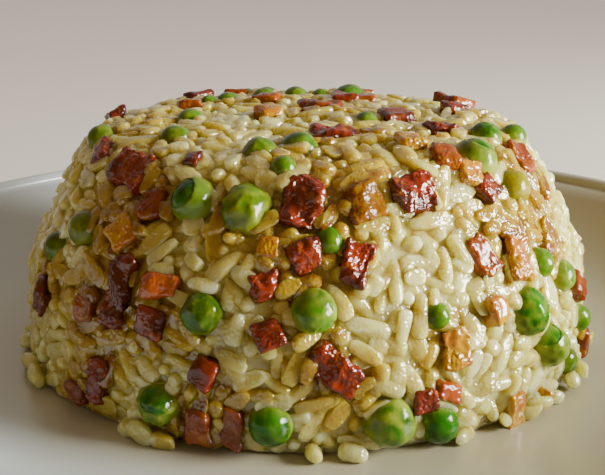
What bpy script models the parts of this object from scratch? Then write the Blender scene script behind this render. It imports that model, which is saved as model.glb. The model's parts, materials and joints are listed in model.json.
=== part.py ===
"""A mound of savoury glutinous rice turned out of a bowl on to a shallow white plate.

Blender 4.5, metres, +Z up. The origin is under the middle of the plate's foot, +X is the mound's
right side and -Y its front. Sticky rice is one heap whose skin is made of grain-sized ridges. Whole
peas and dice of sausage, ham and browned rice cake sit in pockets of it, each a solid of its own.
Smaller pieces are bumps of the heap's skin.
"""
import math
import random
from collections import namedtuple

import bmesh
import bpy
import numpy as np
from mathutils import Euler, Matrix, Vector
from mathutils.geometry import delaunay_2d_cdt

SEED = 20
TOUCH_GAP = 0.0003            # air left between pieces that touch

# ---- the plate ----
PLATE_R = 0.099               # outer radius of the rim
RIM_RISE = 0.0165             # rim above the floor that carries the rice
FLOOR_R = 0.064               # where the flat floor starts to rise
FLOOR_Z = 0.0065              # top of the floor above the table
PLATE_WALL = 0.0042           # thickness of the floor and of the wall
FOOT_R = 0.047                # middle of the foot ring
FOOT_WIDTH = 0.006
FOOT_RISE = FLOOR_Z - PLATE_WALL
PLATE_STEPS = 32
WALL_POINTS = 3               # points up the wall's curve
LIP_POINTS = 2                # points round the lip

# ---- the mound of rice ----
MOUND_R = 0.055               # widest radius, over the crowns of the grains
GRAIN_RISE = 0.0009           # crown of a grain above the mean skin
GRAIN_DIP = 0.0005            # the sticky skin between the grains below it
BELLY_Z = 0.12                # height of the widest place, in mound radii
SHOULDER_Z = 0.74             # height where the side turns over into the top
SHOULDER_IN = 0.244           # how far the side has leaned in by then
TOP_R = 0.45                  # radius of the level top
TOP_Z = 0.800                 # its height
TOP_CROWN = 0.012             # how much the middle of the top is higher
PROFILE_STEPS = 240
LEVEL_LEAST = 0.3             # sine of the slope below which the skin counts as level

# ---- grains of rice ----
GRAIN_LENGTH = (0.0052, 0.0082)
GRAIN_WIDTH = 0.0029
GRAIN_APART = 0.0031          # least distance between the spines of two grains
GRAIN_TRIES = 14000
GRAIN_TURNS = 6               # headings that are tried at each place
GRAIN_HEAVE = 0.0004          # how much one grain stands higher than another
GRAIN_TIP = 0.0004            # how much one end of a grain stands higher
RIDGE_SHARE = 0.23            # half of a grain's ridge, as a share of its length
SPINE_SHARES = (-0.42, -0.21, 0.0, 0.21, 0.42)
WAIST_SHARE = 0.24            # how far along it is still at its full width
GRAIN_OFF_PIECE = 0.0008      # least distance from a spine to a piece in its pocket
GRAIN_OFF_BUMP = 0.0018       # the same for a small piece that is a bump
GRAIN_OFF_FOOT = 0.965        # how far out on the flat map a spine may reach
FOOT_POINTS = 72
FOOT_RAGGED = 0.0007          # how far the foot's edge wanders in and out
SLIVER = 0.00002              # edges shorter than this are closed up

# ---- the photograph's camera, which turns a pixel of it into a place on the mound ----
PHOTO_AXIS_X = 307            # column of the mound's own axis
PHOTO_MID_Y = 237.5
FOCAL_PIXELS = 937
EYE_DISTANCE = 3.5            # in mound radii, from the middle of the mound's foot
EYE_ELEVATION = math.radians(21.9)
EYE_PITCH = math.radians(16.6)
RAY_STEPS = 900               # steps along a ray, over one eye distance
RAY_START = 0.5               # where the steps start, in eye distances

# ---- what is mixed into the rice ----
PEA_SUNK = 0.50               # how deep a pea's middle lies under the mean skin, in radii
PEA_WRINKLE = 0.022           # how far its skin strays in and out, as a share of its size
PEA_WIDTHS = (0.94, 1.0)      # its second and third width, as shares of its first
PEA_DEPTHS = (0.90, 0.98)
DIE_PROUD = 0.0011            # outer face of a die above the mean skin
DIE_BEVEL = 0.0006
DIE_SKEW = 0.05               # how far a die's corners stray, as a share of its size
DIE_TAPER = 0.10              # how much narrower a die is at its back
POCKET_ROOM = 0.0004          # air round a piece in its pocket
PIECE_APART = 0.0005          # least distance between two pieces, measured on the skin
PIECE_OFF_FLOOR = 0.0004      # least height of a piece over the plate
EASE_ROUNDS = 60
EASE_REACH = 0.018            # pieces further apart than this can't touch
EASE_SHARE = 0.3              # share of the missing room that each of two pieces gives in a round
EASE_LEAST = 0.00002          # and a little more
BORDER_POINTS = 16

Pea = namedtuple("Pea", "name pixel across")
Die = namedtuple("Die", "name pixel size turn stuff")

# A pea's pixel is its middle in the photograph, and across is its real diameter.
PEAS = [
    Pea("pea_01", (194, 197), 0.0080),
    Pea("pea_02", (247, 206), 0.0086),
    Pea("pea_03", (315, 312), 0.0074),
    Pea("pea_04", (266, 428), 0.0068),
    Pea("pea_05", (392, 425), 0.0086),
    Pea("pea_06", (442, 427), 0.0064),
    Pea("pea_07", (531, 308), 0.0082),
    Pea("pea_08", (553, 346), 0.0074),
    Pea("pea_09", (562, 274), 0.0062),
    Pea("pea_10", (198, 311), 0.0068),
    Pea("pea_11", (157, 405), 0.0073),
    Pea("pea_12", (478, 155), 0.0080),
    Pea("pea_13", (486, 131), 0.0062),
    Pea("pea_14", (514, 184), 0.0063),
    Pea("pea_15", (261, 147), 0.0062),
    Pea("pea_16", (300, 141), 0.0066),
    Pea("pea_17", (350, 93), 0.0080),
    Pea("pea_18", (84, 225), 0.0065),
]

# A die's size is its width, its height up the mound's side and its depth into the rice.
DICE = [
    Die("sausage_01", (131, 168), (0.0096, 0.0076, 0.0064), -8, "sausage"),
    Die("sausage_02", (154, 205), (0.0046, 0.0056, 0.0050), 12, "paprika"),
    Die("sausage_03", (299, 203), (0.0070, 0.0092, 0.0060), -18, "sausage"),
    Die("sausage_04", (302, 253), (0.0056, 0.0054, 0.0050), 14, "sausage"),
    Die("sausage_05", (351, 264), (0.0056, 0.0082, 0.0054), -24, "sausage"),
    Die("sausage_06", (415, 193), (0.0082, 0.0076, 0.0058), 8, "sausage"),
    Die("sausage_07", (266, 285), (0.0054, 0.0054, 0.0048), 20, "sausage"),
    Die("sausage_08", (335, 367), (0.0090, 0.0058, 0.0058), -34, "sausage"),
    Die("sausage_09", (116, 286), (0.0052, 0.0120, 0.0056), -4, "sausage"),
    Die("sausage_10", (85, 308), (0.0052, 0.0060, 0.0048), 6, "paprika"),
    Die("sausage_11", (41, 295), (0.0056, 0.0076, 0.0050), 0, "sausage"),
    Die("sausage_12", (76, 397), (0.0054, 0.0050, 0.0048), 10, "paprika"),
    Die("sausage_13", (98, 380), (0.0042, 0.0086, 0.0048), -6, "sausage"),
    Die("sausage_14", (202, 440), (0.0048, 0.0068, 0.0050), 4, "paprika"),
    Die("sausage_15", (233, 439), (0.0038, 0.0080, 0.0050), -6, "paprika"),
    Die("sausage_16", (334, 133), (0.0098, 0.0056, 0.0046), 10, "sausage"),
    Die("sausage_17", (318, 105), (0.0096, 0.0060, 0.0046), -12, "paprika"),
    Die("sausage_18", (521, 157), (0.0060, 0.0070, 0.0046), -20, "paprika"),
    Die("sausage_19", (583, 347), (0.0048, 0.0064, 0.0046), 6, "paprika"),
    Die("ham_01", (161, 292), (0.0072, 0.0042, 0.0044), 4, "ham"),
    Die("ham_02", (449, 391), (0.0056, 0.0036, 0.0042), -20, "ham"),
    Die("sausage_21", (486, 254), (0.0048, 0.0080, 0.0052), 28, "paprika"),
    Die("crust_01", (519, 260), (0.0060, 0.0082, 0.0054), -14, "crust"),
    Die("crust_02", (452, 349), (0.0056, 0.0074, 0.0052), 8, "crust"),
    Die("fat_01", (357, 202), (0.0072, 0.0066, 0.0054), 16, "fat"),
    Die("sausage_20", (440, 128), (0.0062, 0.0058, 0.0046), 24, "sausage"),
]

# On the side that the photograph doesn't show, pieces of the same kinds are spread by a seeded rule.
BACK_PEAS = 6
BACK_ARC = (math.radians(12), math.radians(168))
BACK_HEIGHT = (0.10, 0.80)    # share of the way up the side
BACK_CLEAR = 0.0016
BACK_TRIES = 4000
PEA_SIZES = (0.0070, 0.0090)
DIE_SIZES = (0.0056, 0.0090)
DIE_DEPTH = 0.0050
DIE_TURNS = (-35.0, 35.0)
BACK_PIECES = [("sausage_22", "sausage"), ("sausage_23", "paprika"), ("ham_03", "ham"),
               ("sausage_24", "sausage"), ("crust_03", "crust"), ("sausage_25", "paprika"),
               ("sausage_26", "sausage"), ("ham_04", "ham")]

# ---- pieces too small for a solid of their own: bumps of the heap, placed by the photograph ----
SMALL_PEAS = [
    ((545, 262), 0.0054), ((516, 132), 0.0052), ((283, 163), 0.0040), ((190, 116), 0.0056),
    ((175, 133), 0.0058), ((98, 133), 0.0054), ((366, 118), 0.0050), ((296, 93), 0.0060),
    ((264, 94), 0.0060), ((228, 98), 0.0056), ((440, 313), 0.0038),
    ((52, 245), 0.0056), ((570, 362), 0.0052), ((583, 318), 0.0052),
]
SMALL_DICE = [
    ((100, 154), 0.0044), ((203, 372), 0.0038), ((270, 335), 0.0046), ((515, 409), 0.0052),
    ((545, 400), 0.0036), ((497, 308), 0.0042), ((488, 188), 0.0042), ((445, 156), 0.0040),
    ((470, 173), 0.0040), ((410, 143), 0.0048), ((455, 108), 0.0046), ((396, 115), 0.0050),
    ((268, 112), 0.0046), ((116, 115), 0.0048), ((190, 104), 0.0046), ((576, 285), 0.0050),
    ((150, 322), 0.0050), ((123, 233), 0.0046), ((270, 247), 0.0036),
]
BACK_BITS = 34                # more of them on the side that it doesn't show
BACK_BIT_CYCLE = 5            # of every five, two are peas and three are dice
BACK_PEAS_A_CYCLE = 2
BIT_SIZE = (0.0042, 0.0060)
BIT_FOOT = 0.0004             # how far out a small die's foot stands
BUMP_RINGS = ((0.62, 0.28, 5), (1.02, -0.22, 6))    # a small pea's rings: reach, height, points


# ---------------------------------------------------------------- the mean skin of the mound
def mound_profile():
    """Radius and height of the mean skin, from the middle of the top down to the foot."""
    side_drop = SHOULDER_IN / (SHOULDER_Z - BELLY_Z) ** 2
    shoulder_r = 1.0 - SHOULDER_IN
    lean = 2.0 * side_drop * (SHOULDER_Z - BELLY_Z)
    corner_r = shoulder_r - lean * (TOP_Z - SHOULDER_Z)
    share = np.arange(PROFILE_STEPS) / PROFILE_STEPS
    top = (TOP_R * share, TOP_Z + TOP_CROWN * (1.0 - share ** 2))
    start, middle, end = (1.0 - share) ** 2, 2.0 * share * (1.0 - share), share ** 2
    turn = (start * TOP_R + middle * corner_r + end * shoulder_r,
            (start + middle) * TOP_Z + end * SHOULDER_Z)
    height = SHOULDER_Z * (1.0 - np.arange(PROFILE_STEPS + 1) / PROFILE_STEPS)
    side = (1.0 - side_drop * (height - BELLY_Z) ** 2, height)
    radii, heights = np.concatenate([top, turn, side], axis=1) * (MOUND_R - GRAIN_RISE)
    return radii, heights + FLOOR_Z + TOUCH_GAP


SKIN_R, SKIN_Z = mound_profile()


def flat_map():
    """Distance from the middle of a flat map of the skin, one that keeps every angle."""
    step = np.hypot(np.diff(SKIN_R), np.diff(SKIN_Z))
    middle = 0.5 * (SKIN_R[1:] + SKIN_R[:-1])
    growth = np.cumsum(step[1:] / middle[1:])
    reach = np.concatenate([[0.0, 1.0], np.exp(growth)])
    return reach / reach[-1]


SKIN_MAP = flat_map()


def skin_at(spot):
    """Point of the mean skin, its outward normal and the real length of one unit of the map there."""
    reach = min(spot.length, 1.0)
    radius = float(np.interp(reach, SKIN_MAP, SKIN_R))
    height = float(np.interp(reach, SKIN_MAP, SKIN_Z))
    at = min(max(int(np.searchsorted(SKIN_MAP, reach)), 1), len(SKIN_R) - 1)
    run = Vector((SKIN_R[at] - SKIN_R[at - 1], SKIN_Z[at] - SKIN_Z[at - 1])).normalized()
    way = spot.normalized() if spot.length > 1e-9 else Vector((1.0, 0.0))
    point = Vector((way.x * radius, way.y * radius, height))
    normal = Vector((-way.x * run.y, -way.y * run.y, run.x)).normalized()
    scale = radius / reach if reach > SKIN_MAP[1] else SKIN_R[1] / SKIN_MAP[1]
    return point, normal, scale


def spot_of_point(point):
    """Place on the flat map of the skin point nearest to a point in space."""
    radius = math.hypot(point.x, point.y)
    nearest = int(np.argmin(np.hypot(SKIN_R - radius, SKIN_Z - point.z)))
    bearing = math.atan2(point.y, point.x)
    return Vector((math.cos(bearing), math.sin(bearing))) * float(SKIN_MAP[nearest])


def spot_of_pixel(pixel):
    """Place on the flat map that the photograph shows at a pixel."""
    distance = EYE_DISTANCE * MOUND_R
    eye = Vector((0.0, -distance * math.cos(EYE_ELEVATION),
                  distance * math.sin(EYE_ELEVATION) + FLOOR_Z))
    ahead = Vector((0.0, math.cos(EYE_PITCH), -math.sin(EYE_PITCH)))
    above = Vector((0.0, math.sin(EYE_PITCH), math.cos(EYE_PITCH)))
    aside = Vector(((pixel[0] - PHOTO_AXIS_X) / FOCAL_PIXELS, 0.0, 0.0))
    ray = (ahead + aside - above * ((pixel[1] - PHOTO_MID_Y) / FOCAL_PIXELS)).normalized()
    nearest = None
    for step in range(RAY_STEPS):
        point = eye + ray * (distance * (RAY_START + step / RAY_STEPS))
        inside = float(np.interp(-point.z, -SKIN_Z, SKIN_R)) - math.hypot(point.x, point.y)
        if point.z > SKIN_Z[0]:
            inside = SKIN_Z[0] - point.z
        if nearest is None or inside > nearest[0]:
            nearest = (inside, point)
        if inside >= 0.0:
            break
    return spot_of_point(nearest[1])


def standing(spot, turn):
    """Matrix that stands a piece on the skin: its X runs level, its Y up the side, its Z outward."""
    point, normal, _ = skin_at(spot)
    level = Vector((0.0, 0.0, 1.0)).cross(normal)
    if level.length < LEVEL_LEAST:
        level = Vector((1.0, 0.0, 0.0))
    up = normal.cross(level.normalized()).normalized()
    level = up.cross(normal)
    frame = Matrix((level, up, normal)).transposed().to_4x4()
    return Matrix.Translation(point) @ frame @ Matrix.Rotation(math.radians(turn), 4, "Z")


# ---------------------------------------------------------------- small helpers
def collection(name):
    made = bpy.data.collections.new(name)
    bpy.context.scene.collection.children.link(made)
    return made


def material(name, colour, roughness, coat=0.0):
    """A Principled BSDF of one colour, which is given as linear red, green and blue."""
    made = bpy.data.materials.new(name)
    made.use_nodes = True
    shader = made.node_tree.nodes["Principled BSDF"]
    shader.inputs["Base Color"].default_value = (*colour, 1.0)
    shader.inputs["Roughness"].default_value = roughness
    shader.inputs["Metallic"].default_value = 0.0
    shader.inputs["Coat Weight"].default_value = coat
    made.diffuse_color = (*colour, 1.0)
    return made


def add_object(name, bm, home, stuff):
    mesh = bpy.data.meshes.new(name)
    bm.to_mesh(mesh)
    bm.free()
    made = bpy.data.objects.new(name, mesh)
    home.objects.link(made)
    if stuff is not None:
        mesh.materials.append(stuff)
    return made


# ---------------------------------------------------------------- the plate
def plate_profile():
    """Half section of the plate, from the middle of the floor out over the rim and back below."""
    rim_z = FLOOR_Z + RIM_RISE
    lip = PLATE_WALL / 2.0
    wall_r = PLATE_R - lip
    points = [(0.0, FLOOR_Z), (FLOOR_R, FLOOR_Z)]
    for step in range(1, WALL_POINTS):
        share = step / WALL_POINTS
        points.append((FLOOR_R + (wall_r - lip - FLOOR_R) * share, FLOOR_Z + RIM_RISE * share ** 2))
    for step in range(LIP_POINTS + 1):
        angle = math.pi * (1.0 - step / LIP_POINTS)
        points.append((wall_r + lip * math.cos(angle), rim_z - lip + lip * math.sin(angle)))
    for step in range(WALL_POINTS - 1, 0, -1):
        share = step / WALL_POINTS
        radius = FLOOR_R + (PLATE_R - FLOOR_R) * share
        points.append((radius, FLOOR_Z - PLATE_WALL + (RIM_RISE - lip) * share ** 2))
    for offset, height in ((0.5, FOOT_RISE), (0.35, 0.0), (-0.35, 0.0), (-0.5, FOOT_RISE)):
        points.append((FOOT_R + FOOT_WIDTH * offset, height))
    points.append((0.0, FOOT_RISE))
    return points


def build_plate(home, stuff):
    """The half section turned once round the plate's axis."""
    bm = bmesh.new()
    corners = [bm.verts.new((radius, 0.0, height)) for radius, height in plate_profile()]
    for first, second in zip(corners, corners[1:]):
        bm.edges.new((first, second))
    plate = add_object("plate", bm, home, stuff)
    turn = plate.modifiers.new("turned", "SCREW")
    turn.angle = math.tau
    turn.steps = PLATE_STEPS
    turn.render_steps = PLATE_STEPS
    turn.use_merge_vertices = True
    turn.merge_threshold = 0.00005
    turn.use_smooth_shade = True
    return plate


# ---------------------------------------------------------------- peas and dice
def pea_mesh(across, draw):
    """A cooked pea: a ball, a little flat on one side and lightly dented."""
    bm = bmesh.new()
    bmesh.ops.create_icosphere(bm, subdivisions=2, radius=across / 2.0)
    for vert in bm.verts:
        vert.co *= 1.0 + draw.uniform(-PEA_WRINKLE, PEA_WRINKLE)
    shape = (1.0, draw.uniform(*PEA_WIDTHS), draw.uniform(*PEA_DEPTHS))
    bmesh.ops.scale(bm, verts=bm.verts[:], vec=shape)
    turn = Euler([draw.uniform(0.0, math.tau) for _ in range(3)]).to_matrix()
    bmesh.ops.transform(bm, matrix=turn, verts=bm.verts[:])
    return bm


def die_mesh(size, draw):
    """A hand-cut die: a box with strayed corners, a little narrower at its back."""
    bm = bmesh.new()
    bmesh.ops.create_cube(bm, size=1.0)
    for vert in bm.verts:
        narrow = 1.0 - (DIE_TAPER if vert.co.z < 0.0 else 0.0)
        stray = [1.0 - draw.uniform(0.0, DIE_SKEW) for _ in range(3)]
        vert.co.x *= size[0] * narrow * stray[0]
        vert.co.y *= size[1] * narrow * stray[1]
        vert.co.z *= size[2] * stray[2]
    return bm


class Piece:
    """A pea or a die: where it stands on the skin, and how far it reaches."""

    def __init__(self, name, spot, turn, stuff, size):
        self.name = name
        self.turn = turn
        self.stuff = stuff
        self.half = Vector(size) / 2.0
        self.is_round = stuff == "pea"
        self.stand_at(spot)

    def stand_at(self, spot):
        self.spot = spot
        self.point = skin_at(spot)[0]
        self.place = standing(spot, self.turn)
        self.back = self.place.inverted()

    def middle(self):
        """Height of its middle over the skin."""
        return -PEA_SUNK * self.half.x if self.is_round else DIE_PROUD - self.half.z

    def distance(self, point):
        """How far outside the piece a point of the skin lies; less than nothing over the piece."""
        local = self.back @ point
        if self.is_round:
            return math.hypot(local.x, local.y) - self.half.x
        beyond_x = abs(local.x) - self.half.x
        beyond_y = abs(local.y) - self.half.y
        if beyond_x > 0.0 and beyond_y > 0.0:
            return math.hypot(beyond_x, beyond_y)
        return max(beyond_x, beyond_y)

    def border(self):
        """Points of the skin round the piece."""
        points = []
        for number in range(BORDER_POINTS):
            angle = math.tau * number / BORDER_POINTS
            x, y = math.cos(angle), math.sin(angle)
            if not self.is_round:
                fit = 1.0 / max(abs(x), abs(y))
                x, y = x * fit, y * fit
            points.append(self.place @ Vector((x * self.half.x, y * self.half.y, 0.0)))
        return points

    def lowest(self):
        """Height of its lowest place over the plate."""
        middle = self.place @ Vector((0.0, 0.0, self.middle()))
        if self.is_round:
            return middle.z - self.half.x - FLOOR_Z
        axes = [abs(self.place[2][axis]) * self.half[axis] for axis in range(3)]
        return middle.z - sum(axes) - FLOOR_Z


def room_between(one, other):
    """Least distance between two pieces, measured on the skin."""
    return min(min(other.distance(point) for point in one.border()),
               min(one.distance(point) for point in other.border()))


def ease_apart(pieces):
    """Move pieces that would touch each other or the plate apart along the skin."""
    for _ in range(EASE_ROUNDS):
        shift = [Vector() for _ in pieces]
        for number, one in enumerate(pieces):
            if one.lowest() < PIECE_OFF_FLOOR:
                shift[number].z += PIECE_OFF_FLOOR - one.lowest()
            for further, other in enumerate(pieces[number + 1:], number + 1):
                apart = one.point - other.point
                if apart.length > EASE_REACH:
                    continue
                lack = PIECE_APART - room_between(one, other)
                if lack > 0.0:
                    push = apart.normalized() * (lack * EASE_SHARE + EASE_LEAST)
                    shift[number] += push
                    shift[further] -= push
        if max(move.length for move in shift) == 0.0:
            return
        for piece, move in zip(pieces, shift):
            if move.length > 0.0:
                piece.stand_at(spot_of_point(piece.point + move))


def seen_pieces():
    """The whole pieces that the photograph shows."""
    peas = [Piece(pea.name, spot_of_pixel(pea.pixel), 0.0, "pea", (pea.across,) * 3) for pea in PEAS]
    dice = [Piece(die.name, spot_of_pixel(die.pixel), die.turn, die.stuff, die.size) for die in DICE]
    return peas + dice


def small_pieces():
    """The pieces of the photograph that are only bumps of the heap."""
    draw = random.Random(SEED + 1)
    peas = [Piece("", spot_of_pixel(pixel), 0.0, "pea", (size,) * 3) for pixel, size in SMALL_PEAS]
    dice = [Piece("", spot_of_pixel(pixel), draw.uniform(*DIE_TURNS), "paprika", (size,) * 3)
            for pixel, size in SMALL_DICE]
    return peas + dice


def back_spot(draw, pieces, reach):
    """A free place on the side that the photograph doesn't show."""
    for _ in range(BACK_TRIES):
        bearing = draw.uniform(*BACK_ARC)
        height = SKIN_Z[-1] + draw.uniform(*BACK_HEIGHT) * SHOULDER_Z * MOUND_R
        radius = float(np.interp(-height, -SKIN_Z, SKIN_R))
        point = Vector((math.cos(bearing) * radius, math.sin(bearing) * radius, height))
        if all(piece.distance(point) > reach + BACK_CLEAR for piece in pieces
               if (piece.point - point).length < EASE_REACH):
            return spot_of_point(point)
    raise RuntimeError("no free place on the back of the mound")


def add_back_pieces(pieces, bits):
    """More pieces of the same kinds, spread over the back: whole ones first, then small ones."""
    draw = random.Random(SEED)
    for number in range(BACK_PEAS):
        across = draw.uniform(*PEA_SIZES)
        spot = back_spot(draw, pieces + bits, across / 2.0)
        pieces.append(Piece(f"pea_{len(PEAS) + number + 1:02d}", spot, 0.0, "pea", (across,) * 3))
    for name, stuff in BACK_PIECES:
        size = (draw.uniform(*DIE_SIZES), draw.uniform(*DIE_SIZES), DIE_DEPTH)
        spot = back_spot(draw, pieces + bits, max(size) / 2.0)
        pieces.append(Piece(name, spot, draw.uniform(*DIE_TURNS), stuff, size))
    for number in range(BACK_BITS):
        size = draw.uniform(*BIT_SIZE)
        spot = back_spot(draw, pieces + bits, size / 2.0)
        stuff = "pea" if number % BACK_BIT_CYCLE < BACK_PEAS_A_CYCLE else "paprika"
        bits.append(Piece("", spot, draw.uniform(*DIE_TURNS), stuff, (size,) * 3))


def piece_mesh(piece, draw):
    if piece.is_round:
        return pea_mesh(piece.half.x * 2.0, draw)
    return die_mesh(piece.half * 2.0, draw)


def pocket_mesh(bm, piece):
    """The piece's own shape, grown by the air that its pocket leaves round it."""
    copy = bm.copy()
    grow = [1.0 + POCKET_ROOM / half for half in piece.half]
    bmesh.ops.scale(copy, verts=copy.verts[:], vec=grow)
    return copy


def build_piece(piece, home, cutters, stuffs, draw):
    """One pea or die as a solid of its own, and the cutter of its pocket."""
    bm = piece_mesh(piece, draw)
    place = piece.place @ Matrix.Translation((0.0, 0.0, piece.middle()))
    cutter = add_object(f"pocket_{piece.name}", pocket_mesh(bm, piece), cutters, None)
    cutter.matrix_world = place
    cutter.hide_render = True
    cutter.display_type = "WIRE"
    made = add_object(piece.name, bm, home, stuffs[piece.stuff])
    made.matrix_world = place
    if piece.is_round:
        made.data.shade_smooth()
        return
    worn = made.modifiers.new("worn edges", "BEVEL")
    worn.width = DIE_BEVEL
    worn.segments = 1


# ---------------------------------------------------------------- the rice
class Crowd:
    """Points in space, kept in cells so that near ones are found quickly."""

    def __init__(self, cell):
        self.cell = cell
        self.cells = {}

    def key(self, point):
        return tuple(int(math.floor(value / self.cell)) for value in point)

    def add(self, point):
        self.cells.setdefault(self.key(point), []).append(point)

    def is_clear(self, point, distance):
        x, y, z = self.key(point)
        for dx in (-1, 0, 1):
            for dy in (-1, 0, 1):
                for dz in (-1, 0, 1):
                    for other in self.cells.get((x + dx, y + dy, z + dz), ()):
                        if (other - point).length < distance:
                            return False
        return True


class Relief:
    """The heap's skin as points of the flat map, each with its place in space."""

    def __init__(self):
        self.spots = []
        self.points = []
        self.ties = []

    def add(self, spot, lift):
        point, normal, _ = skin_at(spot)
        return self.add_point(spot, point + normal * lift)

    def add_point(self, spot, point):
        point.z = max(point.z, FLOOR_Z + TOUCH_GAP)
        self.spots.append(spot)
        self.points.append(point)
        return len(self.spots) - 1

    def tie(self, indices, closed=False):
        """Edges that the skin must have."""
        ends = indices[1:] + indices[:1] if closed else indices[1:]
        self.ties.extend(zip(indices, ends))


SKIN_AREA = np.concatenate([[0.0], np.cumsum(np.hypot(np.diff(SKIN_R), np.diff(SKIN_Z))
                                             * 0.5 * (SKIN_R[1:] + SKIN_R[:-1]))])


def random_spot(draw):
    """A place on the flat map, every part of the real skin being as likely."""
    reach = float(np.interp(draw.random() * SKIN_AREA[-1], SKIN_AREA, SKIN_MAP))
    bearing = draw.uniform(0.0, math.tau)
    return Vector((math.cos(bearing), math.sin(bearing))) * reach


def bit_rings(piece):
    """Rings of a bump: where each point is along the piece's X and Y, and how high."""
    half = piece.half.x
    if piece.is_round:
        rings = [[(0.0, 0.0, (1.0 - PEA_SUNK) * half)]]
        for reach, height, sides in BUMP_RINGS:
            angles = [math.tau * side / sides for side in range(sides)]
            rings.append([(reach * half * math.cos(angle), reach * half * math.sin(angle),
                           height * half) for angle in angles])
        return rings
    corners = ((-1, -1), (1, -1), (1, 1), (-1, 1))
    outer = half + BIT_FOOT
    return [[(half * x, half * y, DIE_PROUD) for x, y in corners],
            [(outer * x, outer * y, -GRAIN_DIP) for x, y in corners]]


def add_bits(relief, crowd, bits):
    """The small peas and dice, as bumps of the skin."""
    for piece in bits:
        for ring in bit_rings(piece):
            made = []
            for local in ring:
                on_skin = piece.place @ Vector((local[0], local[1], 0.0))
                made.append(relief.add_point(spot_of_point(on_skin), piece.place @ Vector(local)))
                crowd.add(relief.points[-1].copy())
            if len(made) > 1:
                relief.tie(made, closed=True)


def spine_of(spot, heading, length):
    """Points along the middle of a grain, from tip to tip."""
    _, _, scale = skin_at(spot)
    along = Vector((math.cos(heading), math.sin(heading))) * (length / scale)
    return [spot + along * share for share in SPINE_SHARES]


def lay_grain(crowd, covered, spot, draw):
    """Heading and length of a grain that fits at this place, or nothing."""
    first = draw.uniform(0.0, math.pi)
    if not crowd.is_clear(skin_at(spot)[0], GRAIN_APART):
        return None
    for length in (draw.uniform(*GRAIN_LENGTH), GRAIN_LENGTH[0]):
        for turn in range(GRAIN_TURNS):
            heading = first + math.pi * turn / GRAIN_TURNS
            spine = spine_of(spot, heading, length)
            if max(place.length for place in spine) > GRAIN_OFF_FOOT:
                continue
            points = [skin_at(place)[0] for place in spine]
            if covered(points) or not all(crowd.is_clear(point, GRAIN_APART) for point in points):
                continue
            for point in points:
                crowd.add(point)
            return heading, length
    return None


def add_grain(relief, spot, heading, length, draw):
    """A grain of rice as a lozenge with a ridge."""
    _, _, scale = skin_at(spot)
    along = Vector((math.cos(heading), math.sin(heading))) * (length / scale)
    across = Vector((-math.sin(heading), math.cos(heading))) * (GRAIN_WIDTH * 0.5 / scale)
    waist = along * WAIST_SHARE
    outline = [spot - along * 0.5, spot - waist - across, spot + waist - across,
               spot + along * 0.5, spot + waist + across, spot - waist + across]
    relief.tie([relief.add(place, -GRAIN_DIP) for place in outline], closed=True)
    crown = GRAIN_RISE + draw.uniform(-GRAIN_HEAVE, GRAIN_HEAVE)
    tip = draw.uniform(-GRAIN_TIP, GRAIN_TIP)
    relief.tie([relief.add(spot - along * RIDGE_SHARE, crown - tip),
                relief.add(spot + along * RIDGE_SHARE, crown + tip)])


def add_grains(relief, crowd, covered, draw):
    """Grains laid at random wherever there is room."""
    for _ in range(GRAIN_TRIES):
        spot = random_spot(draw)
        laid = lay_grain(crowd, covered, spot, draw)
        if laid:
            add_grain(relief, spot, *laid, draw)


def add_foot(relief, draw):
    """The uneven edge where the heap stands on the plate."""
    made = []
    for number in range(FOOT_POINTS):
        bearing = math.tau * number / FOOT_POINTS
        way = Vector((math.cos(bearing), math.sin(bearing)))
        radius = SKIN_R[-1] + draw.uniform(-FOOT_RAGGED, FOOT_RAGGED)
        made.append(relief.add_point(way, Vector((way.x * radius, way.y * radius, 0.0))))
    relief.tie(made, closed=True)


def heap_mesh(pieces, bits):
    """The heap: its skin over a flat map of it, closed by a flat foot."""
    draw = random.Random(SEED + 2)
    relief = Relief()
    crowd = Crowd(GRAIN_APART)

    def covered(points):
        for group, margin in ((pieces, GRAIN_OFF_PIECE), (bits, GRAIN_OFF_BUMP)):
            middle = points[len(points) // 2]
            near = [piece for piece in group if (piece.point - middle).length < EASE_REACH]
            if any(piece.distance(point) < margin for piece in near for point in points):
                return True
        return False

    add_foot(relief, draw)
    add_bits(relief, crowd, bits)
    add_grains(relief, crowd, covered, draw)
    spots, _, faces, origins, _, _ = delaunay_2d_cdt(relief.spots, relief.ties, [], 0, 1e-9, True)
    bm = bmesh.new()
    corners = []
    for spot, origin in zip(spots, origins):
        point = relief.points[origin[0]] if origin else skin_at(spot)[0]
        corners.append(bm.verts.new(point))
    for face in faces:
        bm.faces.new([corners[index] for index in face])
    foot = [edge for edge in bm.edges if edge.is_boundary]
    bmesh.ops.contextual_create(bm, geom=foot)
    bmesh.ops.recalc_face_normals(bm, faces=bm.faces[:])
    return bm


def drop_scraps(bm):
    """Keep the largest of the separate bodies."""
    left = set(bm.faces)
    largest = set()
    while left:
        body, to_visit = set(), [left.pop()]
        while to_visit:
            face = to_visit.pop()
            body.add(face)
            for edge in face.edges:
                for other in edge.link_faces:
                    if other in left:
                        left.remove(other)
                        to_visit.append(other)
        if len(body) > len(largest):
            largest = body
    scraps = [face for face in bm.faces if face not in largest]
    bmesh.ops.delete(bm, geom=scraps, context="FACES")


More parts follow.
